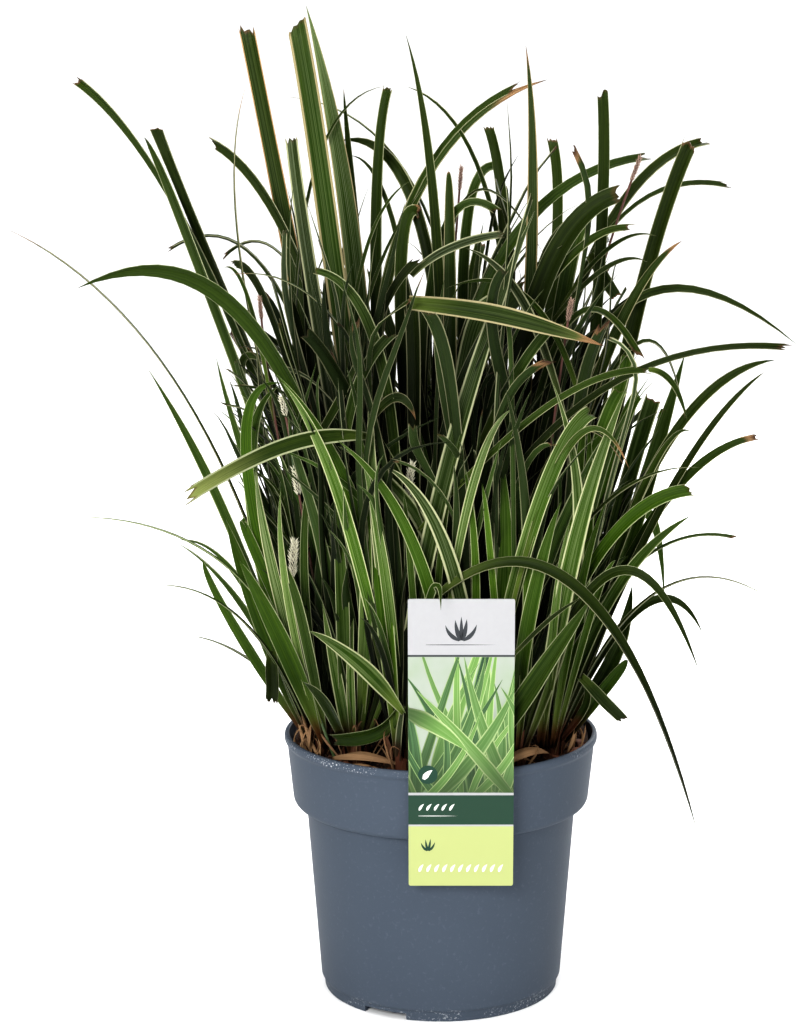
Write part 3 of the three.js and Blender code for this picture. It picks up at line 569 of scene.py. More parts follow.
def moved_back(x, y, z, shift):
    grow = 1 + shift / VIEW_DISTANCE
    return at(x * grow, y + shift, VIEW_HEIGHT + (z - VIEW_HEIGHT) * grow)


def leading_leaf(row, i, k):
    """Leading leaf i at try k."""
    cx, cy, mx, my, mz, tx, ty, tz, wide, turn, end, look = row
    crown = nearest_crown(cx, cy)
    shift = math.ceil((k % 20) / 2) * (3 if k % 2 else -3)
    lean = max(0, tz - 430) * (1.5 * draws_from(500 + i)() - 0.6)
    mid = moved_back(mx, my, mz, shift * 0.7 + lean * 0.4)
    tip = moved_back(tx, ty, tz, shift + lean)
    way = at(mid.x - CROWNS[crown][0], mid.y - CROWNS[crown][1])
    way.rotate(Matrix.Rotation([0, 0.9, -0.9][k // 20], 2))
    root = root_of(crown, way.x, way.y, 3.4)
    return leaf_of(root, mid, tip, wide, TOWARDS_LABEL, look, turn=turn, cut=end == "cut")


def filling_leaf(crown, i, seed):
    """A leaf by rule: each turns on by about a third, and every third one is old and long."""
    x, y = CROWNS[crown]
    draw = draws_from(seed)
    turn = (120 * i + 49 * crown + (draw() - 0.5) * 80) * DEG
    way = at(0.55 * math.cos(turn) + x / RIM_RADIUS, 0.55 * math.sin(turn) + y / RIM_RADIUS, 0)
    old = i % 3 == 0
    length = 280 + 130 * draw() if old else 110 + 150 * draw()
    reach = length * ((0.2 if old else 0.15) + 0.35 * draw())
    droop = 0.2 + 0.6 * draw() if old else 0.1 + 0.5 * draw()
    high = length * math.sqrt(1 - (reach / length) ** 2)
    root = root_of(crown, way.x, way.y, 1 + 3 * draw())
    mid = root + way * reach * 0.36 + at(0, 0, high * 0.56)
    tip = root + way * reach + at(0, 0, high * (1 - 0.3 * droop))
    cut = old and draw() < 0.5
    wide = 6 + 5 * draw() if old else 7 + 5 * draw()
    normal = (mid - root).cross(tip - mid)
    side = at(0, 1, 0) if normal.length < 1 else -normal.normalized()
    leaf = leaf_of(root, mid, tip, wide, side, "old" if old else "young", cut=cut, ripple=0.5)
    leaf |= {"turn": (draw() - 0.5) * 70, "twist": (draw() - 0.5) * 90}
    # The shade number is painted shade: filling leaves stand inside the clump, so they are drawn darker.
    return leaf | {"shade": 0.3 + 0.6 * draw(), "sway": (draw() - 0.5) * 0.07 * length}


def end_corner(leaf):
    """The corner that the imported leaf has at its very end: its tip, or the keel of its cut edge."""
    if not leaf["cut"]:
        return leaf["tip"]
    along = (leaf["tip"] - knee_of(leaf)).normalized()
    turned = leaf["side"].copy()
    turned.rotate(Matrix.Rotation((leaf["turn"] + leaf["twist"]) * DEG, 3, along))
    across = (turned - along * along.dot(turned)).normalized()
    return leaf["tip"] - across.cross(along) * (LEAF_THICK / 2)


def corner_tree(node):
    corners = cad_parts[node].data.vertices
    tree = kdtree.KDTree(len(corners))
    for corner in corners:
        tree.insert(corner.co / MM, corner.index)
    tree.balance()
    return tree


trees = [corner_tree(name) for name in TUFTS]


def kept_try(crown, candidates):
    """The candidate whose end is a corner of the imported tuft, or None if the leaf was left out."""
    for leaf in candidates:
        if trees[crown].find(end_corner(leaf))[2] < 0.05:
            return leaf
    return None


leaves = [[] for _ in CROWNS]
for i, row in enumerate(LEADING_LEAVES):
    crown = nearest_crown(row[0], row[1])
    found = kept_try(crown, (leading_leaf(row, i, k) for k in range(LEADING_TRIES)))
    if found:
        finer = found | FINER_FORMS.get(i, {})
        move = finer.get("move", at(0, 0, 0))
        leaves[crown].append(finer | {"mid": finer["mid"] + move * 0.6, "tip": finer["tip"] + move})
    else:
        print("leading leaf", i, "was not found")
for i in range(max(FILLING_PER_CROWN)):
    for crown in range(len(CROWNS)):
        if i < FILLING_PER_CROWN[ring_of(crown)]:
            seeds = (1000 * crown + 40 * i + k for k in range(FILLING_TRIES))
            found = kept_try(crown, (filling_leaf(crown, i, seed) for seed in seeds))
            if found:
                leaves[crown].append(found)
print("found", sum(map(len, leaves)), "packed leaves in", len(leaves), "tufts")
for rx, ry, rz, mx, my, mz, tx, ty, tz, wide, turn, end, look, neck in ADDED_LEAVES:
    leaf = leaf_of(at(rx, ry, rz), at(mx, my, mz), at(tx, ty, tz), wide, TOWARDS_LABEL, look)
    leaves[nearest_crown(rx, ry)].append(leaf | {"turn": turn, "cut": end == "cut", "neck": neck})

# %% [markdown]
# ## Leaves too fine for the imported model
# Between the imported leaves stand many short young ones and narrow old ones, the brown papery sheaths that
# wrap each crown, and loose straw. They stay inside the clump's outline. A new leaf is tried a few times
# and kept where its middle line is clear of all the others.


# %% Small leaves, sheaths and straw
def curve_point(leaf, t):
    return leaf["root"] * (1 - t) ** 2 + knee_of(leaf) * 2 * t * (1 - t) + leaf["tip"] * t * t


CHECKED_AT = [0.2, 0.32, 0.44, 0.56, 0.68, 0.8, 0.92, 1]
taken = [[tuple(curve_point(leaf, t)) for t in CHECKED_AT] for tuft in leaves for leaf in tuft]
taken = np.array(taken).reshape(-1, 3)
# foot x, y,  middle x, y, z,  top x, y, z,  radius and length of the head, age
SPIKES = rows_of("""
-62 -50 -82 -62 230 -84 -66 290 3.6 27 fresh
-56 -34 -72 -50 252 -84 -56 330 3.6 19 fresh
-20 -58 -24 -66 254 -16 -72 336 3.4 27 fresh
-14 16 0 10 342 12 0 500 2.2 17 dry
52 14 72 4 344 116 -4 506 2.3 17 dry
48 -40 60 -56 312 74 -62 428 2.4 17 dry
-54 -12 -88 -36 308 -104 -44 428 2.2 17 dry
""")
CARD_X, CARD_TOP = 11.6, 264  # the middle and the top of the label
SMALL_PER_CROWN = [34, 34, 26]
SMALL_IN_FRONT = 9
THIN_PER_CROWN = [18, 15, 4]
SMALL_TRIES = 8


def stays_in_clump(leaf):
    """Whether a leaf keeps to the clump, widest at 360 mm, and away from the label."""
    for t in (0.3, 0.5, 0.75, 1):
        x, y, z = curve_point(leaf, t)
        allowed = 93 + (z - RIM_TOP_Z) * 0.24 if z < 360 else 141 - (z - 360) * 0.3
        before_label = y < -84 and abs(x - CARD_X) < 38 and z < CARD_TOP + 14
        if math.hypot(x, y * 0.9) > allowed or before_label:
            return False
    return True


def hides_a_head(leaf):
    """Whether a leaf would pass before a flower head, as seen from the front."""
    for spike in SPIKES:
        head = Vector(spike[5:8]) - at(0, 0, 11)
        for t in CHECKED_AT:
            place = curve_point(leaf, t)
            near = abs(place.x - head.x) < 9 and abs(place.z - (place.y - head.y) * 0.19 - head.z) < 16
            if near and place.y < head.y:
                return True
    return False


def small_leaf(crown, i, k):
    seed = 50000 + 1000 * crown + 40 * i + k
    leaf = filling_leaf(crown, i + 1 + i // 2, seed)
    draw = draws_from(seed + 7)
    way = leaf["tip"] - leaf["root"]
    sway = at(-way.y, way.x, 0).normalized() * way.length
    upright = 0.4 + 0.9 * draw()
    mid, tip = leaf["mid"] + sway * (draw() - 0.5) * 0.26, leaf["tip"] + sway * (draw() - 0.5) * 0.6
    for place, share in ((mid, upright), (tip, upright)):
        place.x = leaf["root"].x + (place.x - leaf["root"].x) * share
        place.y = leaf["root"].y + (place.y - leaf["root"].y) * share
    wide = leaf["wide"] * (0.45 + 0.4 * draw())
    # A small leaf's shade number is painted shade, mostly dark, as small leaves stand deep in the clump.
    return leaf | {"mid": mid, "tip": tip, "wide": wide, "grid": 1, "shade": 0.14 + 0.8 * draw() ** 2}


def thin_leaf(crown, i, k):
    """A long old leaf, narrow and arching, that crosses the others high up."""
    seed = 60000 + 1000 * crown + 40 * i + k
    leaf = filling_leaf(crown, 3 * i, seed)
    draw = draws_from(seed + 7)
    shorten = 0.8 + 0.32 * draw()
    for place in (leaf["mid"], leaf["tip"]):
        place.z = leaf["root"].z + (place.z - leaf["root"].z) * shorten
    bow = at(draw() - 0.5, draw() - 0.5, 0) * 60
    leaf |= {"mid": leaf["mid"] - bow * 0.5, "tip": leaf["tip"] + bow}
    leaf |= {"wide": 2.5 + 4 * draw() ** 1.5, "grid": 1}
    # A thin leaf's shade number is painted shade as well.
    return leaf | {"look": ["dark", "old", "silver"][int(draw() * 2.3)], "shade": 0.5 + 0.5 * draw()}


small_count = 0
for i in range(max(SMALL_PER_CROWN) + max(THIN_PER_CROWN)):
    for crown in range(len(CROWNS)):
        smalls, thins = SMALL_PER_CROWN[ring_of(crown)], THIN_PER_CROWN[ring_of(crown)]
        smalls = SMALL_IN_FRONT if CROWNS[crown][1] < -55 else smalls
        if i >= smalls + thins:
            continue
        best, best_room = None, 1.2
        for k in range(SMALL_TRIES):
            leaf = thin_leaf(crown, i - smalls, k) if i >= smalls else small_leaf(crown, i, k)
            if hides_a_head(leaf) or not stays_in_clump(leaf):
                continue
            line = np.array([tuple(curve_point(leaf, t)) for t in CHECKED_AT[1:]])
            room = np.sqrt(((line[:, None] - taken[None]) ** 2).sum(2)).min()
            if room > best_room:
                best, best_room = leaf, room
        if best:
            line = np.array([tuple(curve_point(best, t)) for t in CHECKED_AT])
            taken = np.concatenate([taken, line])
            leaves[crown].append(best)
            small_count += 1
print("added", small_count, "small leaves")

SHEATHS_PER_CROWN = 8
STRAWS_PER_CROWN = 8
INSIDE_RADIUS = 86  # loose pieces keep inside the rim


def sheath(crown, i):
    """A brown sheath that stands against the crown and frays at its top."""
    x, y = CROWNS[crown]
    draw = draws_from(80000 + 100 * crown + i)
    turn = (360 / SHEATHS_PER_CROWN * i + 30 * draw()) * DEG
    out = at(math.cos(turn), math.sin(turn), 0)
    foot = at(x, y, soil_z(x, y))
    high = 10 + 23 * draw()
    root = foot + out * 5.2 + at(0, 0, -5)
    mid = foot + out * (6.2 + draw()) + at(0, 0, high * 0.5)
    tip = foot + out * (6 + 9 * draw() * draw()) + at(0, 0, high)
    side = at(0, 0, 1).cross(out)
    leaf = leaf_of(root, mid, tip, 2.8 + 3.4 * draw(), side, "sheath", grid=2, neck=1)
    return leaf | {"twist": (draw() - 0.5) * 60, "cut": draw() < 0.3}


def straw(crown, i):
    """A dry narrow scrap that leans out from the crown and curls."""
    x, y = CROWNS[crown]
    draw = draws_from(90000 + 100 * crown + i)
    turn = TURN * draw()
    out = at(math.cos(turn), math.sin(turn), 0)
    swing = at(-out.y, out.x, 0) * (draw() - 0.5) * 16
    foot = at(x, y, soil_z(x, y))
    high = 14 + 26 * draw()
    reach = 4 + 9 * draw()
    root = foot + out * 5.5 + at(0, 0, -2)
    mid = foot + out * (6 + reach) + at(0, 0, high * 0.7)
    tip = foot + out * (5 + reach * 1.4) + swing + at(0, 0, high * (0.6 + 0.6 * draw()))
    if math.hypot(tip.x, tip.y) > INSIDE_RADIUS:
        inward = INSIDE_RADIUS / math.hypot(tip.x, tip.y)
        tip = at(tip.x * inward, tip.y * inward, tip.z)
    leaf = leaf_of(root, mid, tip, 0.7 + 1.3 * draw(), swing.normalized(), "straw", grid=2)
    return leaf | {"turn": 90 * draw(), "twist": 160 * (draw() - 0.5)}


for crown in range(len(CROWNS)):
    leaves[crown] += [sheath(crown, i) for i in range(SHEATHS_PER_CROWN)]
    leaves[crown] += [straw(crown, i) for i in range(STRAWS_PER_CROWN)]
print("each crown has", SHEATHS_PER_CROWN, "sheaths and", STRAWS_PER_CROWN, "straws")

# %% [markdown]
# ## How a leaf looks
# One material serves every blade, and each leaf carries a few numbers that steer it: its age, from fresh
# green to nearly black, the share of its half width that is cream, how far it has dried back from its tip,
# how pale its stripes are, and whether it is dead. These numbers are stored on the points that the leaves
# grow from, and travel with the mesh.

# %% Looks
# name, age, its spread, cream margin, dried share, pale stripes, fading to its end, rust, dead
LOOKS = rows_of("""
old .9 .24 .13 0 0 0 .1 0
mid .72 .25 .16 0 .1 0 0 0
young .45 .6 .18 0 .1 0 0 0
plain .42 .2 .07 0 0 0 0 0
fresh .18 .25 .16 0 .1 0 0 0
shoot 0 .1 .3 0 .7 0 0 0
cream .5 .2 .32 0 .4 0 0 0
white .8 .1 .36 0 .5 0 0 0
pale .6 .1 .2 0 .7 0 .5 0
bright .16 .16 .14 0 .5 0 0 0
lined .3 .1 .2 0 .45 0 0 0
pearl .35 .2 .24 0 .85 0 0 0
dark .96 .06 .08 0 0 0 0 0
leafy .76 .1 .06 0 0 0 0 0
brown .9 .1 .28 .05 .3 0 .6 0
tipped .8 .1 .2 .13 .1 0 .2 0
split .55 .1 .3 0 .2 0 .5 0
silver .95 .1 .42 0 .5 0 0 0
tawny .95 .1 .15 0 .1 0 1 0
burnt .88 .1 .17 .07 .1 0 .3 0
tanned .92 0 .28 .13 .1 .5 .4 0
faded .88 0 .4 0 0 .8 0 0
sheath .9 .2 0 0 0 0 0 1
straw .3 .5 0 0 0 0 0 1
scrap 0 .1 0 0 0 0 0 1
fibre .6 .8 0 0 0 0 0 1
""")
LOOKS = {name: numbers for name, *numbers in LOOKS}


def look_of(leaf, seed):
    """The look's numbers, each moved a little by a draw, so that no two leaves are alike."""
    draw = draws_from(seed)
    age, spread, margin, dry, pale, fade, rust, dead = LOOKS[leaf["look"]]
    age = min(1, max(0, age + (draw() - 0.5) * spread))
    look = {"age": age, "fade": fade, "rust": rust, "dead": dead, "own": draw()}
    if leaf["look"] == "old" and draw() < 0.3:
        dry = 0.06 * draw()
    look |= {"margin": margin * (0.5 + 0.5 * draw()), "pale": pale * (0.7 + 0.5 * draw()), "dry": dry}
    # shade is a painted shade that darkens the whole leaf; a leaf without its own is darkened very little.
    return look | {"shade": leaf.get("shade", 0.8 + 0.2 * draw())}


print("there are", len(LOOKS), "looks")


# %% The blade material
def blade_finish():
    blade = Finish("sedge_blade")
    across, along, face = (blade.attribute(name) for name in ("across", "along", "face"))
    age, margin, dry = (blade.attribute(name) for name in ("age", "margin", "dry"))
    pale, dead, own = (blade.attribute(name) for name in ("pale", "dead", "own"))
    fade, rust, shade = (blade.attribute(name) for name in ("fade", "rust", "shade"))
    edge = blade.one("ABSOLUTE", across)

    # Fine lines run the whole length: noise that is stretched along the leaf.
    stripe_place = blade.vector(across * 7, along * 0.7, own * 97)
    stripes = blade.noise(stripe_place, 1.6, 4.0, 0.6)
    veins = blade.noise(blade.vector(across * 34, along * 1.3, own * 31), 1.0, 1.0)
    patches = blade.noise(blade.vector(across * 1.2, along * 9, own * 53), 1.2, 3.0)

    # A young leaf is greener at its foot and duller towards its tip.
    age = age + (1 - age) * blade.step(along, 0.25, 1.0) * 0.4
    green = blade.mix(age, (0.038, 0.094, 0.004), (0.0105, 0.0180, 0.0018))
    light = blade.mix(age, (0.100, 0.195, 0.012), (0.027, 0.042, 0.0055))
    face_colour = blade.mix(blade.step(stripes, 0.4, 0.75), green, light)
    pale_stripe = blade.step(stripes, 0.46, 0.56) * pale * 0.75
    pale_green = blade.mix(age, (0.30, 0.37, 0.15), (0.17, 0.205, 0.12))
    face_colour = blade.mix(pale_stripe, face_colour, pale_green)
    face_colour = blade.mix(blade.step(patches, 0.5, 0.8) * 0.35, face_colour, light)

    # The foot of a young leaf is pale, and the underside duller than the top.
    foot = blade.step(along, 0.30, 0.02) * (1 - age * 0.8)
    face_colour = blade.mix(foot * 0.7, face_colour, (0.29, 0.40, 0.075))
    face_colour = blade.mix(blade.step(face, 0.2, -0.2) * 0.3, face_colour, (0.05, 0.085, 0.03))

    # Some leaves fade to olive yellow towards their ends.
    faded = blade.step(along + (stripes - 0.5) * 0.2 + fade * 0.35, 0.86, 1.25) * fade
    face_colour = blade.mix(faded, face_colour, blade.mix(stripes, (0.12, 0.155, 0.030), (0.30, 0.33, 0.11)))

    # The cream margin has a ragged inner edge, and on some leaves it has turned tawny.
    ragged = edge + (stripes - 0.5) * 0.16 + (veins - 0.5) * 0.06
    cream_edge = blade.step(ragged, 1 - margin * 1.1, 1 - margin * 0.8) * blade.step(margin, 0.0, 0.03)
    cream = blade.mix(age, (0.44, 0.50, 0.24), (0.25, 0.265, 0.155))
    cream = blade.mix(pale * 0.6, cream, (0.52, 0.50, 0.30))
    tawny = blade.mix(blade.step(veins, 0.3, 0.7), (0.24, 0.13, 0.05), (0.40, 0.27, 0.13))
    face_colour = blade.mix(cream_edge, face_colour, blade.mix(rust, cream, tawny))

    # Dried ends: tan, then brown at the very end, further down at the edges.
    reach = along + edge * 0.03 + (stripes - 0.5) * 0.08 + (patches - 0.5) * 0.06
    dried = blade.step(reach, 1 - dry * 1.1, 1 - dry * 0.55) * blade.step(dry, 0.0, 0.01)
    tan = blade.mix(blade.step(veins, 0.35, 0.7), (0.12, 0.055, 0.025), (0.36, 0.23, 0.11))
    tan = blade.mix(blade.step(along, 0.97, 1.0), tan, (0.05, 0.026, 0.016))
    face_colour = blade.mix(dried, face_colour, tan)

    # A cut end dries to a narrow brown line.
    cut, torn = blade.attribute("cut"), blade.attribute("torn")
    withered = blade.step(own, 0.5, 0.9)
    cut_end = blade.step(along + (veins - 0.5) * 0.02, 1 - torn * 0.4, 1 - torn * 0.15) * cut
    brown = blade.mix(veins, (0.035, 0.018, 0.010), (0.16, 0.09, 0.045))
    face_colour = blade.mix(cut_end * (0.35 + withered * 0.6), face_colour, brown)

    # Near the soil every leaf turns into a red-brown sheath.
    height = blade.place.part("Z")
    sheathed = blade.step(height + (stripes - 0.5) * 0.02, 0.186, 0.170) * (1 - dead)
    sheathed = sheathed * blade.step(along, 0.45, 0.30)
    redness = blade.step(own + stripes * 0.4, 0.5, 0.9)
    red_foot = blade.mix(redness, (0.045, 0.020, 0.010), (0.130, 0.034, 0.015))
    face_colour = blade.mix(sheathed * 0.9, face_colour, red_foot)

    # Dead sheaths are red brown and straws are the colour of straw.
    papery = blade.mix(age, (0.44, 0.27, 0.14), (0.075, 0.022, 0.012))
    fibrous = blade.step(stripes, 0.45, 0.7) * 0.5
    papery = blade.mix(fibrous, papery, blade.mix(age, (0.22, 0.12, 0.06), (0.13, 0.060, 0.030)))
    face_colour = blade.mix(dead, face_colour, papery)

    # Painted shade: blades inside the clump and near the soil are darker, because little light comes there,
    # and each leaf's own shade number darkens it further; their cream margins are darkened less. Those at the
    # back get a little painted light.
    place = blade.place
    middle = blade.vectors("LENGTH", blade.vector(place.part("X"), place.part("Y"), 0.0))
    clump = 0.072 + (place.part("Z") - 0.15) * 0.24
    inner = blade.step(middle / clump, 0.98, 0.45) * blade.step(place.part("Z"), 0.50, 0.36)
    low = blade.step(height, 0.30, 0.165)
    painted_back_light = blade.step(place.part("Y"), 0.02, 0.08)
    painted_shade = shade ** (1.1 + low * 0.7) * (1 - inner * 0.83) * (1 + painted_back_light * 0.4)
    painted_shade = painted_shade * (1 - low * (0.62 - dead * 0.35))
    painted_shade = painted_shade + cream_edge * (painted_shade**0.85 - painted_shade)
    shade = (0.82 + 0.36 * veins) * painted_shade
    settings = {"data_type": "RGBA", "blend_type": "MULTIPLY"}
    inputs = {0: 1.0, 6: face_colour, 7: blade.vector(shade, shade, shade)}
    tinted = blade.node("ShaderNodeMix", settings, inputs, 2)
    blade.put(base_color=tinted, roughness=0.36 + 0.22 * stripes + 0.2 * dead, specular_ior_level=0.07)
    blade.bump(veins * 0.6 + stripes * 0.4, 0.0004, 0.5)
    return blade.material


BLADE = blade_finish()
print("the blade material has", len(BLADE.node_tree.nodes), "nodes")

# %% [markdown]
# ## Growing the blades
# Hundreds of blades follow one formula, so Geometry Nodes make them. Each leaf is one point that carries its
# curve, its width and its turn. A closed flat strip is instanced on every point and made real, and one Set
# Position bends all the strips at once: the place along the leaf picks a point of the curve, and the place
# across it goes out to the margin. The two halves fold up from the keel, most at the foot, and arch a
# little, which gives the blade its ribs. A torn end is the same strip with its last rows drawn back
# unevenly.


# %% The blade tree
class Growth(Graph):
    """A Geometry Nodes tree with named inputs."""

    def __init__(self, name, numbers):
        self.group = bpy.data.node_groups.new(name, "GeometryNodeTree")
        super().__init__(self.group)
        self.group.interface.new_socket("Geometry", in_out="OUTPUT", socket_type="NodeSocketGeometry")
        self.group.interface.new_socket("Geometry", in_out="INPUT", socket_type="NodeSocketGeometry")
        for key, (kind, value) in numbers.items():
            socket = self.group.interface.new_socket(key, in_out="INPUT", socket_type=kind)
            socket.default_value = value
        self.entry = self.tree.nodes.new("NodeGroupInput")

    def given(self, name):
        return Wire(self, self.entry.outputs[name])

    def named(self, name, kind="FLOAT"):
        return self.node("GeometryNodeInputNamedAttribute", {"data_type": kind}, {"Name": name})

    def store(self, geometry, name, value):
        settings = {"data_type": "FLOAT", "domain": "POINT"}
        inputs = {"Geometry": geometry, "Name": name, "Value": value}
        return self.node("GeometryNodeStoreNamedAttribute", settings, inputs)

    def on_points(self, thing, **inputs):
        """The thing, instanced on each of the points that come in."""
        inputs = {"Points": self.given("Geometry"), "Instance": thing} | inputs
        return self.node("GeometryNodeInstanceOnPoints", {}, inputs)

    def finish(self, geometry, material):
        """Ends the tree: instances are made real, shaded smooth, and given their material."""
        real = self.node("GeometryNodeRealizeInstances", {}, {0: geometry})
        smooth = self.node("GeometryNodeSetShadeSmooth", {}, {"Geometry": real})
        painted = self.node("GeometryNodeSetMaterial", {}, {"Geometry": smooth, "Material": material})
        exit_node = self.tree.nodes.new("NodeGroupOutput")
        self.tree.links.new(painted.socket, exit_node.inputs[0])
        return self.group


BLADE_GRIDS = [(9, 28), (7, 17), (4, 9)]  # corners across and along: packed leaves, small ones, scraps
OPENING = 0.35  # the share of its length over which a leaf opens to its full width


def blade_tree():
    grow = Growth("grow_blades", {"Half Thickness": ("NodeSocketFloat", 0.00026)})
    kind = grow.named("grid")
    groups = []
    for number, (columns, rows) in enumerate(BLADE_GRIDS):
        counts = {"Vertices X": 2, "Vertices Y": columns, "Vertices Z": rows}
        strip = grow.node("GeometryNodeMeshCube", {}, {"Size": (1, 1, 1), **counts})
        corner = grow.node("GeometryNodeInputPosition")
        strip = grow.store(strip, "face", corner.part("X") * 2)
        even = corner.part("Y") * 2
        strip = grow.store(strip, "across", even * (1.5 - even * even * 0.5))
        strip = grow.store(strip, "along", corner.part("Z") + 0.5)
        mine = grow.node("FunctionNodeCompare", {"operation": "EQUAL"}, {0: kind, 1: float(number)})
        groups.append(grow.on_points(strip, Selection=mine))
    join = grow.tree.nodes.new("GeometryNodeJoinGeometry")
    for group in groups:
        grow.tree.links.new(group.socket, join.inputs[0])
    blades = grow.node("GeometryNodeRealizeInstances", {}, {0: Wire(grow, join.outputs[0])})

    across, along, face = (grow.named(name) for name in ("across", "along", "face"))
    root, knee, tip, side = (grow.named(name, "FLOAT_VECTOR") for name in ("root", "knee", "tip", "side"))
    wide, turn, twist = (grow.named(name) for name in ("wide", "turn", "twist"))
    cut, torn, own = (grow.named(name) for name in ("cut", "torn", "own"))
    wave, taper, neck, sway = (grow.named(name) for name in ("ripple", "taper", "neck", "sway"))

    # A torn end: each column stops a little earlier or later.
    ragged = grow.noise(grow.vector(across * 3.1, own * 71, 0.0), 1.7, 3.0, 0.7)
    slant = 0.5 + across * (grow.step(own, 0.2, 0.8) - 0.5)
    t = along - grow.step(along, 0.86, 1.0) * torn * (grow.step(ragged, 0.40, 0.60) * 0.75 + slant * 0.75)

    rest = 1 - t
    place = root * (rest * rest) + knee * (2 * t * rest) + tip * (t * t)
    tangent = (knee - root) * rest + (tip - knee) * t
    tangent = grow.vectors("NORMALIZE", tangent)
    ripple = grow.one("SINE", (t * 1.3 + own) * TURN) * t
    angle = turn + twist * t + ripple * wave
    inputs = {"Vector": side, "Axis": tangent, "Angle": angle}
    turned = grow.node("ShaderNodeVectorRotate", {"rotation_type": "AXIS_ANGLE"}, inputs)
    flat = turned - tangent * grow.vectors("DOT_PRODUCT", turned, tangent)
    out = grow.vectors("NORMALIZE", flat)
    up = grow.vectors("CROSS_PRODUCT", out, tangent)

    # The width opens from the foot, stays, and runs out to the tip, or a little narrower to a cut end.
    opening = neck + (1 - neck) * grow.one("SINE", grow.maths("MINIMUM", t / OPENING, 1.0) * (math.pi / 2))
    past = grow.maths("MAXIMUM", t - OPENING, 0.0)
    narrowing = 1 - (past / (1 - OPENING)) ** taper
    pointed = grow.maths("MAXIMUM", grow.maths("MINIMUM", opening, narrowing), 0.02)
    square = opening * (1 - past * 0.2)
    share = pointed + (square - pointed) * cut
    half = wide * 0.5 * share

    # The halves fold up from the keel and arch between the keel and the margin.
    edge = grow.one("ABSOLUTE", across)
    fold = (25 + 26 * rest * rest * rest) * DEG
    arch = grow.one("SINE", edge * math.pi) * 0.12
    rise = half * (grow.one("SINE", fold) * edge + arch)
    thick = grow.given("Half Thickness") * (1 - edge * 0.45) * grow.maths("MINIMUM", share * 3, 1.0)
    spread = half * grow.one("COSINE", fold) * across
    swayed = sway * grow.one("SINE", t * TURN) * t
    place = place + out * (spread + swayed) + up * (rise + face * thick)
    blades = grow.node("GeometryNodeSetPosition", {}, {"Geometry": blades, "Position": place})
    return grow.finish(blades, BLADE)


BLADE_TREE = blade_tree()
print("the blade tree has", len(BLADE_TREE.nodes), "nodes")


# %% [markdown]
# ## From points to a plain mesh
# A modifier's inputs are set by their identifiers before the object is first evaluated. The evaluated result
# becomes an ordinary mesh on a new object at the origin, and the helper object with the modifier goes. A
# part that bends to a formula can come out with its faces turned in, so the volume is measured: a negative
# one means that the faces have to be flipped.


# %% Growing and naming a piece
def new_piece(name, mesh, materials=()):
    piece = bpy.data.objects.new(name, mesh)
    bpy.context.scene.collection.objects.link(piece)
    for material in materials:
        mesh.materials.append(material)
    return piece


def point_cloud(name, places, vectors, numbers):
    """A mesh of loose points, each with its own vectors and numbers."""
    mesh = bpy.data.meshes.new(name)
    mesh.from_pydata(places, [], [])
    for kind, field, layers in (("FLOAT_VECTOR", "vector", vectors), ("FLOAT", "value", numbers)):
        for key, rows in layers.items():
            layer = mesh.attributes.new(key, kind, "POINT")
            layer.data.foreach_set(field, np.array(rows, dtype=np.float32).ravel())
    return mesh


def grown(name, mesh, tree, **sizes):
    """The mesh that a tree makes from a start mesh, as plain data. Sizes are named inputs of the tree."""
    helper = new_piece(name + "_helper", mesh)
    modifier = helper.modifiers.new("grow", "NODES")
    modifier.node_group = tree
    for socket in tree.interface.items_tree:
        if socket.in_out == "INPUT" and socket.name in sizes:
            modifier[socket.identifier] = sizes[socket.name]
    evaluated = helper.evaluated_get(bpy.context.evaluated_depsgraph_get())
    made = bpy.data.meshes.new_from_object(evaluated)
    made.name = name
    bpy.data.objects.remove(helper)
    return made


def turned_out(mesh):
    """Flips the faces of a mesh whose volume comes out negative."""
    form = bmesh.new()
    form.from_mesh(mesh)
    if form.calc_volume(signed=True) < 0:
        bmesh.ops.reverse_faces(form, faces=form.faces)
        form.to_mesh(mesh)
    form.free()
    return mesh


def torn_share(leaf):
    """The share of a cut leaf's length that is torn: some millimetres, and an eighth at most."""
    return leaf["cut"] * min(0.12, leaf.get("tear", 9) / (leaf["tip"] - leaf["root"]).length)


LEAF_UNITS = {"wide": MM, "turn": DEG, "twist": DEG, "sway": MM}
LEAF_HABITS = {"grid": 0, "ripple": 0.2, "taper": 2.1, "neck": 0.36, "sway": 0}  # unless a leaf has its own


def blades_from(name, tuft, seed):
    """A mesh of all the leaves in a list."""
    vectors = {
        "root": [leaf["root"] * MM for leaf in tuft],
        "knee": [knee_of(leaf) * MM for leaf in tuft],
        "tip": [leaf["tip"] * MM for leaf in tuft],
        "side": [leaf["side"] for leaf in tuft],
    }
    full = [LEAF_HABITS | leaf | {"torn": torn_share(leaf)} for leaf in tuft]
    keys = ("wide", "turn", "twist", "cut", "torn", "grid", "ripple", "taper", "neck", "sway")
    numbers = {key: [leaf[key] * LEAF_UNITS.get(key, 1) for leaf in full] for key in keys}
    looks = [look_of(leaf, seed + 7 * i) for i, leaf in enumerate(tuft)]
    numbers |= {key: [look[key] for look in looks] for key in looks[0]}
    start = point_cloud(name + "_points", [(0, 0, 0)] * len(tuft), vectors, numbers)
    return turned_out(grown(name, start, BLADE_TREE))


# %% Grow the tufts
def circle(count):
    """Angles that go evenly round a full turn."""
    return [TURN * j / count for j in range(count)]


def bridge(form, rings):
    """Faces between each ring of corners and the next. A ring may also be a single corner."""
    faces = []
    for a, b in zip(rings, rings[1:]):
        for j in range(max(len(a), len(b))):
            k = j + 1
            corners = (a[j % len(a)], a[k % len(a)], b[k % len(b)], b[j % len(b)])
            faces.append(form.faces.new(list(dict.fromkeys(corners))))
    return faces


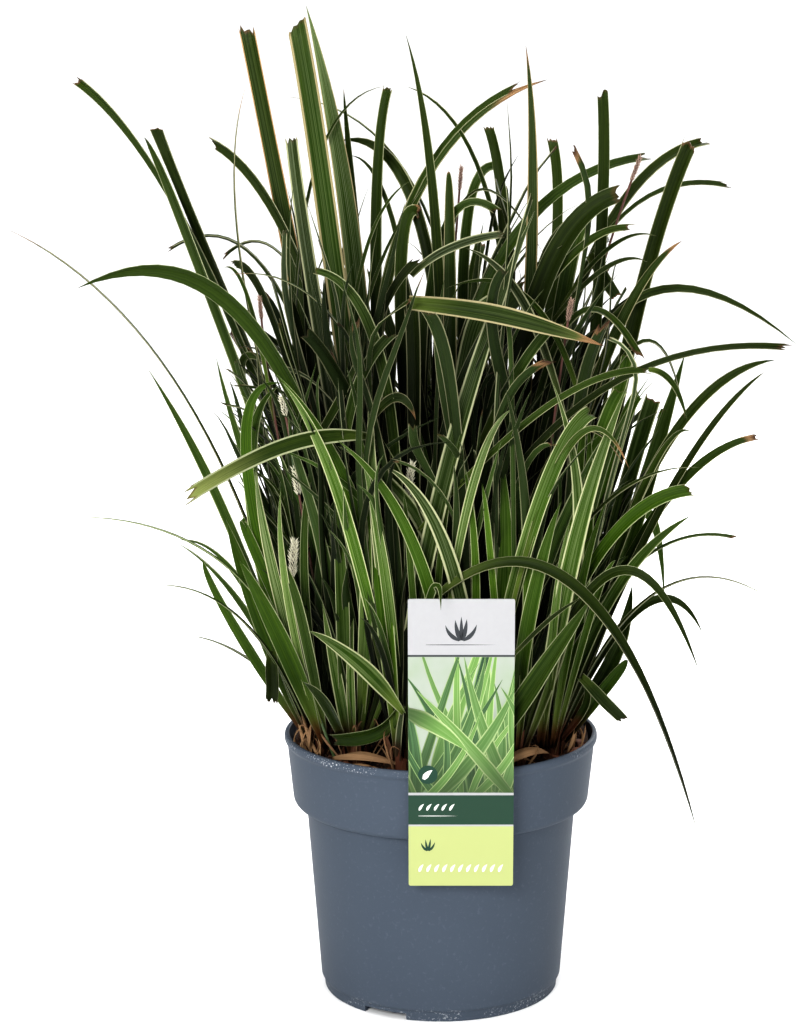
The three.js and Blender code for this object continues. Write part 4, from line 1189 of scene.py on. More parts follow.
def with_stub(mesh, crown):
    """Adds the crown's stub, a ribbed stump of old sheaths that stands in the soil."""
    form = bmesh.new()
    form.from_mesh(mesh)
    keys = ("along", "across", "age", "dead", "own", "shade", "face")
    layers = {key: form.verts.layers.float[key] for key in keys}
    x, y = CROWNS[crown]
    rings = []
    for i in range(11):
        share = i / 10
        high = -26 + 42 * share
        radius = 5.9 * (1 - 0.12 * share) * (1 - max(0, share - 0.72) ** 2 * 9)
        ring = []
        for turn in circle(18):
            rib = 1 + 0.09 * math.sin(5 * turn + crown) + 0.05 * math.sin(8 * turn + high * 0.3)
            out = radius * rib
            place = at(x + out * math.cos(turn), y + out * math.sin(turn), soil_z(x, y) + high)
            vert = form.verts.new(place * MM)
            for key, value in zip(keys, (share, turn / math.pi, 0.95, 1, crown / len(CROWNS), 1, 1)):
                vert[layers[key]] = value
            ring.append(vert)
        rings.append(ring)
    form.faces.ensure_lookup_table()
    slot = form.faces[0].material_index
    ends = [form.faces.new(list(reversed(rings[0]))), form.faces.new(rings[-1])]
    for face in ends + bridge(form, rings):
        face.smooth = True
        face.material_index = slot
    form.to_mesh(mesh)
    form.free()
    return mesh


face_total = 0
for crown, name in enumerate(TUFTS):
    mesh = with_stub(blades_from(name + "_leaves", leaves[crown], 3000 + 200 * crown), crown)
    tuft_piece = new_piece(name + "_leaves", mesh)
    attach(tuft_piece, "root")
    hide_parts(name)
    face_total += len(mesh.polygons)
print("the tufts have", face_total, "faces")

# %% [markdown]
# ## The flower spikes
# Sedge flowers are bristly heads on thin stems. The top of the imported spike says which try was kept, just as
# for the leaves. The stem is a tube along a curve, and the head is a dark core with pale pointed scales set
# round it in a sunflower spiral, each turned on by 137.5 degrees.

# %% Flower spikes
SPIKE_TRIES = 40
STEM_RADIUS = 0.9
SPIKE_DEPTH = 14
SCALES_PER_HEAD, FULL_HEAD = 96, 27  # scales on a head of this length in millimetres
SCALE_LONG, SCALE_WIDE = 0.00095, 0.00017  # metres, for each millimetre of the head's radius


def spike_line(row, k):
    fx, fy, mx, my, mz, tx, ty, tz = row[:8]
    dx, dy = (f(2.4 * k) * 1.1 * math.sqrt(k) for f in (math.cos, math.sin))
    foot = at(fx + dx, fy + dy, soil_z(fx + dx, fy + dy) + 2)
    mid = at(mx + 0.5 * dx, my + 0.5 * dy, mz)
    return {"root": foot, "mid": mid, "tip": at(tx + 0.3 * dx, ty + 0.3 * dy, tz)}


def spike_finish(name, core, scale_low, scale_high, stem):
    """Stem, core and scales in one material, told apart by the attributes 'part' and 'out'."""
    spike = Finish(name)
    part, out, up = (spike.attribute(key) for key in ("part", "out", "up"))
    grain = spike.noise(spike.place, 900.0, 2.0)
    husk = spike.mix(spike.step(out, -0.3, 0.3), scale_low, scale_high)
    husk = spike.mix(grain * 0.15, husk, core)
    reddish = spike.step(up, 0.55, 0.75)
    stem_colour = spike.mix(reddish, stem, (0.10, 0.035, 0.025))
    stem_colour = spike.mix(spike.step(grain, 0.5, 0.7) * 0.3, stem_colour, (0.02, 0.03, 0.01))
    colour = spike.mix(spike.step(part, 0.5, 0.6), stem_colour, core)
    colour = spike.mix(spike.step(part, 1.5, 1.6), colour, husk)
    spike.put(base_color=colour, roughness=0.5 + 0.3 * grain)
    spike.bump(grain, 0.0003, 0.4)
    return spike.material


FRESH_PAINTS = (0.016, 0.011, 0.007), (0.42, 0.37, 0.22), (0.74, 0.71, 0.54), (0.035, 0.065, 0.018)
DRY_PAINTS = (0.07, 0.036, 0.026), (0.17, 0.095, 0.066), (0.36, 0.24, 0.18), (0.03, 0.04, 0.018)
FLOWERS = {
    "fresh": spike_finish("fresh_flower", *FRESH_PAINTS),
    "dry": spike_finish("dry_flower", *DRY_PAINTS),
}


def scale_tree(material):
    """Pointed scales on points: each lies along the head, tilts outward and ends in a tip."""
    lengths = {"Long": ("NodeSocketFloat", 0.0034), "Wide": ("NodeSocketFloat", 0.0008)}
    grow = Growth("grow_scales", lengths)
    counts = {"Vertices": 5, "Side Segments": 3}
    sizes = {"Radius Top": 0.0, "Radius Bottom": grow.given("Wide"), "Depth": grow.given("Long")}
    cone = grow.node("GeometryNodeMeshCone", {}, counts | sizes)
    corner = grow.node("GeometryNodeInputPosition")
    cone = grow.store(cone, "out", corner.part("Z") / grow.given("Long"))
    align = {"Vector": grow.named("way", "FLOAT_VECTOR")}
    turn = grow.node("FunctionNodeAlignRotationToVector", {"axis": "Z"}, align)
    scales = grow.on_points(cone, Rotation=turn, Scale=grow.named("size"))
    return grow.finish(scales, material)


def tube_rows(form, layers, line, radii, sides, part):
    """A closed tube through a row of points: rings of corners, joined by faces, with both ends capped."""
    rings = []
    for i, (point, radius) in enumerate(zip(line, radii)):
        along = (line[min(i + 1, len(line) - 1)] - line[max(i - 1, 0)]).normalized()
        side = along.orthogonal().normalized()
        if rings:
            side = (last_side - along * along.dot(last_side)).normalized()
        last_side = side
        ring = []
        for turn in circle(sides):
            out = side * math.cos(turn) + along.cross(side) * math.sin(turn)
            vert = form.verts.new((point + out * radius) * MM)
            vert[layers["part"]] = part
            vert[layers["up"]] = i / (len(line) - 1)
            ring.append(vert)
        rings.append(ring)
    bridge(form, rings)
    form.faces.new(reversed(rings[0]))
    form.faces.new(rings[-1])


def spike_mesh(name, line, head_radius, head_long, deep, material, seed):
    share = 1 - head_long / (line["tip"] - line["root"]).length
    form = bmesh.new()
    layers = {key: form.verts.layers.float.new(key) for key in ("part", "out", "up")}
    below = curve_point(line, 0) - at(0, 0, deep)
    stem = [below] + [curve_point(line, share * i / 26) for i in range(27)]
    tube_rows(form, layers, stem, [STEM_RADIUS * (1 - 0.25 * i / 27) for i in range(28)], 8, 0)
    head = [curve_point(line, share + (1 - share) * i / 16) for i in range(17)]
    girth = [head_radius * 0.42 * math.sin(math.pi * (0.12 + 0.84 * i / 16)) ** 0.6 for i in range(17)]
    tube_rows(form, layers, head, girth, 10, 1)
    core = mesh_of(name, form)

    ways, places, sizes = [], [], []
    draw = draws_from(seed)
    count = round(SCALES_PER_HEAD * head_long / FULL_HEAD)
    for i in range(count):
        t = share + (1 - share) * (i + 0.5) / count
        place = curve_point(line, t)
        along = (curve_point(line, min(1, t + 0.01)) - curve_point(line, t - 0.01)).normalized()
        side = along.orthogonal().normalized()
        turn = i * 137.5 * DEG
        out = side * math.cos(turn) + along.cross(side) * math.sin(turn)
        ways.append((out * (0.6 + 0.3 * draw()) + along).normalized())
        radius = head_radius * 0.30 * math.sin(math.pi * (0.1 + 0.8 * (i + 0.5) / count)) ** 0.6
        places.append((place + out * radius) * MM)
        sizes.append(0.75 + 0.5 * draw())
    start = point_cloud(name + "_points", places, {"way": ways}, {"size": sizes})
    lengths = {"Long": SCALE_LONG * head_radius, "Wide": SCALE_WIDE * head_radius}
    scales = grown(name + "_scales", start, SCALE_TREES[material.name], **lengths)
    return joined(core, scales, material)


def joined(mesh, extra, material):
    """One mesh of two. The attribute 'part' is 2 at the corners that the second one brings."""
    form = bmesh.new()
    form.from_mesh(mesh)
    first = len(form.verts)
    form.from_mesh(extra)
    form.verts.ensure_lookup_table()
    part = form.verts.layers.float["part"]
    for vert in form.verts[first:]:
        vert[part] = 2
    bmesh.ops.recalc_face_normals(form, faces=form.faces)
    for face in form.faces:
        face.smooth = True
        face.material_index = 0
    form.to_mesh(mesh)
    form.free()
    mesh.materials.clear()
    mesh.materials.append(material)
    return mesh


SCALE_TREES = {material.name: scale_tree(material) for material in FLOWERS.values()}
for i, row in enumerate(SPIKES):
    node = f"flower_spike_{i + 1}"
    tree = corner_tree(node)
    tries = [spike_line(row, k) for k in range(SPIKE_TRIES)]
    kept = min(tries, key=lambda line: tree.find(line["tip"])[2])
    print(node, "is", round(tree.find(kept["tip"])[2], 3), "mm from its packed top")
    head_radius, head_long, age = row[8:]
    material = FLOWERS[age]
    mesh = spike_mesh(node + "_bristled", kept, head_radius, head_long, SPIKE_DEPTH, material, 600 + i)
    spike = new_piece(node + "_bristled", mesh)
    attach(spike, "root")
    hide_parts(node)
    if node == "flower_spike_2":  # a smaller head stands above its own
        second = {"root": kept["tip"] - at(0, 0, 4), "mid": at(-87, -60, 352), "tip": at(-91, -64, 373)}
        head = {"head_radius": 2.6, "head_long": 14, "deep": 3}
        mesh = spike_mesh("flower_spike_2_upper", second, **head, material=material, seed=650)
        upper = new_piece("flower_spike_2_upper", mesh)
        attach(upper, "root")

# %% [markdown]
# ## The pot
# A nursery pot is blow or injection moulded: one thin wall with a body that widens slowly, a step, and a
# deeper collar with a bead round its rim. It is a profile turned round the axis. Each corner of the packed
# profile is rounded here with a short curve, then the drainage notches and holes are cut with booleans, as
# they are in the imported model.

# %% The pot's form
POT_PROFILE = [  # radius, height, corner radius
    (0, 0, 0), (18, 0, 1), (19, 4, 1), (66.5, 4, 1), (67.5, 0, 0.3), (71.5, 0, 0.5), (72.2, 6, 0.5),
    (73.6, 7.2, 1.2), (82, 116, 1.2), (88.4, 117, 3.2), (89.8, 119.5, 1), (93.4, 154, 0.9), (95, 156, 0.9),
    (95, 159, 1.2), (94, 160, 0.3), (92, 160, 0.6), (88.4, 121, 2), (80.6, 118.6, 2), (71.2, 6, 2), (0, 6, 0),
]
NOTCHES = [(-118 + 120 * i) * DEG for i in range(3)]
HOLES = [(60 * i + 15) * DEG for i in range(6)]


def rounded(profile, steps=4):
    """The profile with each corner replaced by a curve that starts and ends at the corner radius."""
    points = []
    for i, (x, z, radius) in enumerate(profile):
        here = at(x, z)
        if radius == 0:
            points.append(here)
            continue
        back = Vector(profile[i - 1][:2]) - here
        ahead = Vector(profile[i + 1][:2]) - here
        start = here + back.normalized() * min(radius, back.length * 0.45)
        end = here + ahead.normalized() * min(radius, ahead.length * 0.45)
        for j in range(steps + 1):
            t = j / steps
            points.append(start * (1 - t) ** 2 + here * 2 * t * (1 - t) + end * t * t)
    return points


def lathe(form, points, sides):
    """Turns a profile that starts and ends on the axis into a closed form."""
    rings = []
    for radius, z in points[1:-1]:
        places = [(radius * math.cos(a) * MM, radius * math.sin(a) * MM, z * MM) for a in circle(sides)]
        rings.append([form.verts.new(place) for place in places])
    bridge(form, rings)
    for ring, point in ((rings[0], points[0]), (rings[-1], points[-1])):
        bridge(form, [ring, [form.verts.new((0, 0, point.y * MM))]])
    bmesh.ops.recalc_face_normals(form, faces=form.faces)


pot_form = bmesh.new()
lathe(pot_form, rounded(POT_PROFILE), 168)
cutter_form = bmesh.new()
for turn in NOTCHES:
    cut = bmesh.ops.create_cube(cutter_form, size=1)["verts"]
    bmesh.ops.scale(cutter_form, vec=at(18, 28, 8) * MM, verts=cut)
    bmesh.ops.translate(cutter_form, vec=at(71.5, 0, 0) * MM, verts=cut)
    bmesh.ops.rotate(cutter_form, cent=(0, 0, 0), matrix=Matrix.Rotation(turn, 3, "Z"), verts=cut)
for turn in HOLES:
    sizes = {"segments": 32, "radius1": 6 * MM, "radius2": 6 * MM, "depth": 30 * MM}
    place = Matrix.Translation(at(*polar(50, turn), 0) * MM)
    bmesh.ops.create_cone(cutter_form, cap_ends=True, matrix=place, **sizes)
cutter = new_piece("pot_cutters", mesh_of("pot_cutters", cutter_form))
pot_helper = new_piece("pot_helper", mesh_of("pot_moulded", pot_form))
cutting = pot_helper.modifiers.new("cut", "BOOLEAN")
cutting.object = cutter
cutting.operation = "DIFFERENCE"
evaluated = pot_helper.evaluated_get(bpy.context.evaluated_depsgraph_get())
cut_mesh = bpy.data.meshes.new_from_object(evaluated)
bpy.data.objects.remove(pot_helper)
bpy.data.objects.remove(cutter)
cut_mesh.shade_smooth()
cut_mesh.set_sharp_from_angle(angle=40 * DEG)
print("the pot has", len(cut_mesh.polygons), "faces")

# %% [markdown]
# The plastic is a satin blue grey. Its marks are where a pot gets them: soil dust and tiny chips along the
# outer edge of the rim, scuffs round the foot, and a few faint drag lines on the body.


# %% The pot's plastic
def pot_finish():
    pot = Finish("slate_plastic")
    x, y, z = (pot.place.part(axis) for axis in "XYZ")
    radius = pot.vectors("LENGTH", pot.vector(x, y, 0.0))
    broad = pot.noise(pot.place, 14.0, 3.0)
    fine = pot.noise(pot.place, 420.0, 3.0, 0.6)
    colour = pot.mix(broad, (0.049, 0.062, 0.082), (0.058, 0.073, 0.096))
    colour = pot.mix(pot.step(fine, 0.55, 0.75) * 0.18, colour, (0.13, 0.15, 0.18))

    # White chips along the rim's outer edge, more on one side than the other.
    rim = pot.step(z, 0.1545, 0.1572) * pot.step(radius, 0.0925, 0.0938)
    side = pot.step(pot.noise(pot.place, 22.0, 2.0), 0.44, 0.58)
    chips = pot.step(pot.noise(pot.place, 950.0, 2.0, 0.6), 0.60, 0.66)
    colour = pot.mix(rim * side * chips * 0.85, colour, (0.55, 0.56, 0.58))

    # Scuffs at the foot, and fine drag lines that run round the body.
    foot = pot.step(z, 0.011, 0.003) * pot.step(pot.noise(pot.place, 48.0, 2.0), 0.46, 0.6)
    scuffs = pot.step(pot.noise(pot.place, 620.0, 3.0, 0.7), 0.56, 0.64)
    colour = pot.mix(foot * scuffs * 0.6, colour, (0.42, 0.44, 0.46))
    tilted = pot.vector(x * 26, y * 26, z * 900 + x * 180)
    lines = pot.step(pot.noise(tilted, 1.0, 2.0), 0.70, 0.76)
    few = pot.step(pot.noise(pot.place, 19.0, 1.0), 0.60, 0.72)
    few = few * pot.step(z, 0.02, 0.03) * pot.step(z, 0.11, 0.09)
    colour = pot.mix(lines * few * 0.5, colour, (0.17, 0.19, 0.22))

    # Dust and damp soil just inside the rim.
    wall = (z - 0.121) * (3.6 / 39) + 0.0884
    inside = pot.step(radius - wall, 0.0007, 0.0003) * pot.step(z, 0.12, 0.14)
    damp = pot.step(pot.noise(pot.place, 160.0, 3.0), 0.42, 0.62)
    colour = pot.mix(inside * damp * 0.6, colour, (0.035, 0.022, 0.016))
    pot.put(base_color=colour, roughness=0.46 + 0.12 * fine + 0.2 * rim * chips, specular_ior_level=0.06)
    pot.bump(fine, 0.00012, 0.35)
    return pot.material


cut_mesh.name = "pot_moulded"
cut_mesh.materials.clear()
pot_piece = new_piece("pot_moulded", cut_mesh, [pot_finish()])
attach(pot_piece, "root")
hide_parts("pot")
print("the pot is in its plastic")

# %% [markdown]
# ## The soil
# Potting soil is peat, bark and coir. Its body is a closed form that fills the pot and is heaped a little in
# the middle, with lumps from noise. On it lie thousands of crumbs, flakes of bark, and red-brown fibres, all
# made by Geometry Nodes from points that are drawn here.


# %% The soil's body
def soil_finish():
    soil = Finish("damp_soil")
    grains = soil.noise(soil.place, 700.0, 4.0, 0.7)
    clods = soil.noise(soil.place, 130.0, 3.0, 0.6)
    tint = soil.attribute("tint")
    colour = soil.mix(clods, (0.010, 0.006, 0.004), (0.050, 0.026, 0.016))
    colour = soil.mix(soil.step(grains, 0.52, 0.7) * 0.6, colour, (0.085, 0.040, 0.024))
    colour = soil.mix(tint, colour, (0.150, 0.058, 0.030))
    soil.put(base_color=colour, roughness=0.82 + 0.15 * grains, specular_ior_level=0.2)
    soil.bump(grains * 0.6 + clods, 0.0015, 0.8)
    return soil.material


SOIL = soil_finish()


def soil_height(x, y):
    """The height of the lumpy surface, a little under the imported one, so that the crumbs end at it."""
    lumps = noise.noise(at(x / 19, y / 19, 3)) * 2.6 + noise.noise(at(x / 7, y / 7, 9)) * 1.3
    heaped = max(0, math.hypot(x, y) - 72) / 17
    return soil_z(x, y) - 2.0 + lumps + 8 * heaped * heaped


SOIL_RINGS, SOIL_SIDES, SOIL_RADIUS = 33, 128, 89.6
SOIL_WALL = [(88.0, 122.5), (80.1, 119.6), (70.7, 6.5)]  # radius and height, down along the pot's inside
soil_form = bmesh.new()
rings = []
for ring in range(SOIL_RINGS + 1):
    radius = SOIL_RADIUS * ring / SOIL_RINGS
    places = [polar(radius, turn) for turn in circle(SOIL_SIDES if ring else 1)]
    rings.append([soil_form.verts.new(at(x, y, soil_height(x, y)) * MM) for x, y in places])
for radius, z in SOIL_WALL:
    places = [at(*polar(radius, turn), z) for turn in circle(SOIL_SIDES)]
    rings.append([soil_form.verts.new(place * MM) for place in places])
rings.append([soil_form.verts.new((0, 0, 0.0065))])
bridge(soil_form, rings)
bmesh.ops.recalc_face_normals(soil_form, faces=soil_form.faces)
soil_mesh = mesh_of("soil_body", soil_form)
soil_mesh.shade_smooth()
soil_piece = new_piece("soil_body", soil_mesh, [SOIL])
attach(soil_piece, "root")
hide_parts("soil")
print("the soil's body has", len(soil_mesh.polygons), "faces")


# %% Crumbs and bark
def lump_tree(name, kind, material):
    """Lumps on points, each turned and stretched its own way, with its corners moved by noise."""
    grow = Growth(name, {"Seed": ("NodeSocketInt", 5), "Rough": ("NodeSocketFloat", 0.35)})
    if kind == "crumb":
        lump = grow.node("GeometryNodeMeshIcoSphere", {}, {"Radius": 1.0, "Subdivisions": 1})
        turns = {0: (-3.14, -3.14, -3.14), 1: (3.14, 3.14, 3.14)}
    else:
        counts = {"Vertices X": 4, "Vertices Y": 3, "Vertices Z": 2}
        lump = grow.node("GeometryNodeMeshCube", {}, {"Size": (2, 2, 2)} | counts)
        turns = {0: (-0.35, -0.35, -3.14), 1: (0.35, 0.35, 3.14)}
    settings = {"data_type": "FLOAT_VECTOR"}
    turn = grow.node("FunctionNodeRandomValue", settings, turns | {"Seed": grow.given("Seed")})
    lumps = grow.on_points(lump, Rotation=turn, Scale=grow.named("girth", "FLOAT_VECTOR"))
    lumps = grow.node("GeometryNodeRealizeInstances", {}, {0: lumps})
    corner = grow.node("GeometryNodeInputPosition")
    shift = grow.node("ShaderNodeTexNoise", {}, {"Vector": corner, "Scale": 640.0, "Detail": 1.0}, 1)
    shift = (shift - (0.5, 0.5, 0.5)) * (grow.given("Rough") * grow.named("reach"))
    lumps = grow.node("GeometryNodeSetPosition", {}, {"Geometry": lumps, "Offset": shift})
    return grow.finish(lumps, material)


def scattered(name, tree, count, seed, size_of, tint_of, lift, **sizes):
    """A piece of lumps strewn evenly over the soil."""
    draw = draws_from(seed)
    places, girths, tints, reaches = [], [], [], []
    for _ in range(count):
        radius, turn = 87.5 * math.sqrt(draw()), TURN * draw()
        x, y = polar(radius, turn)
        girth = size_of(draw)
        places.append(at(x, y, soil_height(x, y) + lift * max(girth)) * MM)
        girths.append(Vector(girth) * MM)
        reaches.append(max(girth) * MM)
        tints.append(tint_of(draw))
    start = point_cloud(name + "_points", places, {"girth": girths}, {"tint": tints, "reach": reaches})
    mesh = grown(name, start, tree, **sizes)
    piece = new_piece(name, turned_out(mesh))
    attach(piece, "root")
    print(name, "has", len(mesh.polygons), "faces")


def crumb_size(draw):
    girth = 0.5 + 1.3 * draw() ** 2
    return (girth * (0.7 + 0.6 * draw()), girth * (0.7 + 0.6 * draw()), girth * (0.6 + 0.5 * draw()))


def bark_size(draw):
    long = 2.5 + 5 * draw()
    return (long, long * (0.3 + 0.35 * draw()), 0.5 + 0.8 * draw())


CRUMBS, BARK_FLAKES = 4200, 110
crumb_tree = lump_tree("grow_crumbs", "crumb", SOIL)
scattered("soil_crumbs", crumb_tree, CRUMBS, 71, crumb_size, lambda draw: 0.7 * draw() ** 3, 0.3)
bark_tree = lump_tree("grow_bark", "bark", SOIL)
scattered("soil_bark", bark_tree, BARK_FLAKES, 72, bark_size, lambda draw: 0.3 + 0.7 * draw(), 0.1, Rough=0.5)

# %% Fibres and dry scraps
# Fibres and scraps are blades too: short, thin, and nearly flat on the soil.
# root x, y, lift,  middle x, y, lift,  tip x, y, lift,  width: lift is the height over the soil
LYING = rows_of("""
-64 -56 4 -46 -73 9 -20 -79 6 7
-56 -62 1 -44 -74 3 -28 -78 2 3.4
36 -74 6 50 -70 12 64 -58 7 7
30 -70 2 44 -66 9 58 -60 2 1.8
-80 -30 4 -79 -22 6 -83 -10 2 3.6
-72 -42 2 -76 -34 8 -80 -20 14 3
76 20 1 80 34 4 74 46 1 4
-20 78 1 -2 82 4 16 80 1 4.5
-70 44 1 -62 56 4 -50 66 1 4
""")
PAPERS = [(-79, -30), (-76, -38), (79, -26), (-34, 74), (60, 50)]  # dry tufts of sheath
SCRAPS_PER_PAPER = 8
FIBRES = 230
lying = []
for *numbers, wide in LYING:
    places = zip(numbers[::3], numbers[1::3], numbers[2::3])
    root, mid, tip = (at(x, y, soil_height(x, y) + lift) for x, y, lift in places)
    side = at(0.3, -0.6, 0.74).cross(tip - root)
    lying.append(leaf_of(root, mid, tip, wide, side, "scrap", twist=25, grid=1))
draw = draws_from(73)
for x, y in PAPERS:
    for _ in range(SCRAPS_PER_PAPER):
        root = at(x + (draw() - 0.5) * 9, y + (draw() - 0.5) * 9, soil_height(x, y))
        lean = at(draw() - 0.5, draw() - 0.5, 0) * 9
        high = 10 + 17 * draw()
        mid = root + lean + at(0, 0, high * 0.55)
        tip = root + lean * 0.6 + at(draw() - 0.5, draw() - 0.5, 0) * 10 + at(0, 0, high)
        side = lean.cross(at(0, 0, 1))
        leaf = leaf_of(root, mid, tip, 1.2 + 2.0 * draw(), side, "scrap", twist=120, grid=2)
        lying.append(leaf | {"turn": 180 * draw()})
for _ in range(FIBRES):
    radius, turn, way = 84 * math.sqrt(draw()), TURN * draw(), TURN * draw()
    x, y = polar(radius, turn)
    step = at(math.cos(way), math.sin(way), 0) * (3 + 7 * draw())
    root = at(x, y, soil_height(x, y))
    tip = root + step
    inward = min(1, INSIDE_RADIUS / math.hypot(tip.x, tip.y))
    x, y = tip.x * inward, tip.y * inward
    tip = at(x, y, soil_height(x, y) + 2 * draw())
    mid = (root + tip) / 2 + at(draw() - 0.5, draw() - 0.5, 0.6) * 4
    side = at(-step.y, step.x, 0)
    leaf = leaf_of(root, mid, tip, 0.5 + 0.9 * draw(), side, "fibre", twist=80, grid=2)
    lying.append(leaf | {"turn": 90 * draw()})
fibre_mesh = blades_from("soil_fibres", lying, 7300)
fibre_piece = new_piece("soil_fibres", fibre_mesh)
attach(fibre_piece, "root")
print("the soil has", len(lying), "fibres and scraps,", len(fibre_mesh.polygons), "faces")

# %% [markdown]
# ## The plant label
# The label is a printed plastic card that leans against the rim, with a tongue that goes over it and down
# into the soil. Its bands of colour come from the height up the card. Its picture is a small print of its
# own: a fan of striped leaves on a pale ground, made of thin flat shapes that are cut off at the picture's
# edges. A sprig, rules and rows of small leaves stand where a printed card has its words.

# %% The label's card
CARD_WIDE, CARD_THICK, CARD_LOW = 60.4, 0.8, 91
CARD_LEAN = 4.5 * DEG
CARD_BACK_Y = -95.4
card_long = (CARD_TOP - CARD_LOW) / math.cos(CARD_LEAN)
card_mid_z = (CARD_LOW + CARD_TOP) / 2
card_mid_y = CARD_BACK_Y - CARD_THICK / 2 - (card_mid_z - RIM_TOP_Z) * math.tan(CARD_LEAN)
card_turn = Matrix.Rotation(CARD_LEAN, 3, "X")


def on_card(right, up, out):
    """A place on the card, from its middle: to the right, up along it, and out in front of it."""
    return (at(CARD_X, card_mid_y, card_mid_z) + card_turn @ at(right, -out, up)) * MM


def card_outline(corner, steps=6):
    points = []
    half_wide, half_long = CARD_WIDE / 2 - corner, card_long / 2 - corner
    for i, (sx, sz) in enumerate(((1, 1), (-1, 1), (-1, -1), (1, -1))):
        for j in range(steps + 1):
            turn = (90 * i + 90 * j / steps) * DEG
            x, z = polar(corner, turn)
            points.append((sx * half_wide + x, sz * half_long + z))
    return points


card_form = bmesh.new()
front = [card_form.verts.new(on_card(x, z, CARD_THICK / 2)) for x, z in card_outline(1.2)]
back = [card_form.verts.new(on_card(x, z, -CARD_THICK / 2)) for x, z in card_outline(1.2)]
card_form.faces.new(front)
card_form.faces.new(reversed(back))
for i in range(len(front)):
    j = (i + 1) % len(front)
    card_form.faces.new((front[j], front[i], back[i], back[j]))
TONGUE = [(-96.3, 173), (-90.4, 172), (-85.9, 168), (-84.4, 160), (-83.4, 124)]
tongue_line = [at(y, z) for y, z in TONGUE]
smooth_line = [tongue_line[0]]
for a, b, c in zip(tongue_line, tongue_line[1:], tongue_line[2:]):
    for t in (0, 0.25, 0.5, 0.75, 1):
        start, end = a.lerp(b, 0.6), b.lerp(c, 0.4)
        smooth_line.append(start * (1 - t) ** 2 + b * 2 * t * (1 - t) + end * t * t)
smooth_line.append(tongue_line[-1])
tongue_rings = []
for i, point in enumerate(smooth_line):
    ahead = smooth_line[min(i + 1, len(smooth_line) - 1)] - smooth_line[max(i - 1, 0)]
    out = at(-ahead.y, ahead.x).normalized() * (CARD_THICK / 2)
    narrow = 7 if i < len(smooth_line) - 1 else 4
    ring = []
    for side, sign in ((-1, -1), (1, -1), (1, 1), (-1, 1)):
        y, z = point + out * sign
        ring.append(card_form.verts.new(at(CARD_X + narrow * side, y, z) * MM))
    tongue_rings.append(ring)
bridge(card_form, tongue_rings)
card_form.faces.new(tongue_rings[0])
card_form.faces.new(tongue_rings[-1])
bmesh.ops.recalc_face_normals(card_form, faces=card_form.faces)
card_mesh = mesh_of("label_card", card_form)


def card_finish():
    card = Finish("printed_card")
    x, y, z = (card.place.part(axis) for axis in "XYZ")
    share = (CARD_TOP * MM - z) / ((CARD_TOP - CARD_LOW) * MM)
    grain = card.noise(card.place, 300.0, 2.0)
    white = card.mix(grain, (0.325, 0.325, 0.333), (0.345, 0.345, 0.353))
    ground = card.mix(card.noise(card.place, 60.0, 2.0), (0.24, 0.31, 0.20), (0.335, 0.345, 0.335))
    patches = card.step(card.noise(card.place, 90.0, 2.0), 0.4, 0.6)
    deep = card.mix(patches, (0.018, 0.035, 0.010), (0.05, 0.105, 0.03))
    ground = card.mix(card.step(share + (x - 0.0116) * 4, 0.40, 0.64), ground, deep)
    colour = white
    for start, paint in (
        (0.190, (0.035, 0.040, 0.042)),
        (0.197, ground),
        (0.669, white),
        (0.678, (0.0125, 0.041, 0.024)),
        (0.782, white),
        (0.788, (0.345, 0.385, 0.150)),
    ):
        colour = card.mix(card.step(share, start - 0.0008, start + 0.0008), colour, paint)
    depth = y + (z - card_mid_z * MM) * math.tan(CARD_LEAN)
    printed = card.step(depth, card_mid_y * MM, card_mid_y * MM - 0.0002)
    colour = card.mix(printed * card.step(share, 1.02, 1.01), white, colour)
    card.put(base_color=colour, roughness=0.34 + 0.1 * grain, specular_ior_level=0.2)
    card.bump(grain, 0.00005, 0.3)
    return card.material


card_piece = new_piece("label_card", card_mesh, [card_finish()])
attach(card_piece, "root")
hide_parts("label")
print("the card is", round(card_long, 1), "mm long and", CARD_WIDE, "mm wide")

# %% [markdown]
# The print's shapes lie a few hundredths of a millimetre in front of the card, each a little further out
# than the one before. A blade of the print is a strip with its own tone, and its material paints a cream
# line along both edges.

# %% The label's print
PICTURE_TOP = card_long * (0.5 - 0.1975)
PICTURE_LOW = card_long * (0.5 - 0.6685)
PICTURE_HALF = CARD_WIDE / 2 - 0.05
PRINTED_LEAVES = 46


def flat_leaf(form, layers, root, tip, bend, wide, tone, striped, out, rows=14):
    """A leaf-shaped strip on the card, from root to tip, bowed sideways, with its tone at its corners."""
    root, tip = Vector(root), Vector(tip)
    way = tip - root
    side = at(-way.y, way.x).normalized()
    mid = (root + tip) / 2 + side * bend
    lines = []
    for i in range(rows + 1):
        t = i / rows
        place = root * (1 - t) ** 2 + mid * 2 * t * (1 - t) + tip * t * t
        along = ((mid - root) * (1 - t) + (tip - mid) * t).normalized()
        across = at(-along.y, along.x)
        half = wide / 2 * max(0.03, min(1, 0.45 + 2 * t) * (1 - t**2.6))
        line = []
        for share in (-1, 0, 1):
            x, z = place + across * half * share
            vert = form.verts.new(on_card(x, z, CARD_THICK / 2 + out))
            vert[layers["across"]] = share
            vert[layers["tone"]] = tone
            vert[layers["striped"]] = striped
            vert[layers["along"]] = t
            line.append(vert)
        lines.append(line)
    for a, b in zip(lines, lines[1:]):
        for j in (0, 1):
            form.faces.new((a[j], a[j + 1], b[j + 1], b[j]))


def disc(form, layers, centre, radius, tone, out, sides=32):
    verts = []
    for turn in circle(sides):
        x, z = centre[0] + radius * math.cos(turn), centre[1] + radius * math.sin(turn)
        vert = form.verts.new(on_card(x, z, CARD_THICK / 2 + out))
        vert[layers["tone"]] = tone
        verts.append(vert)
    form.faces.new(verts)


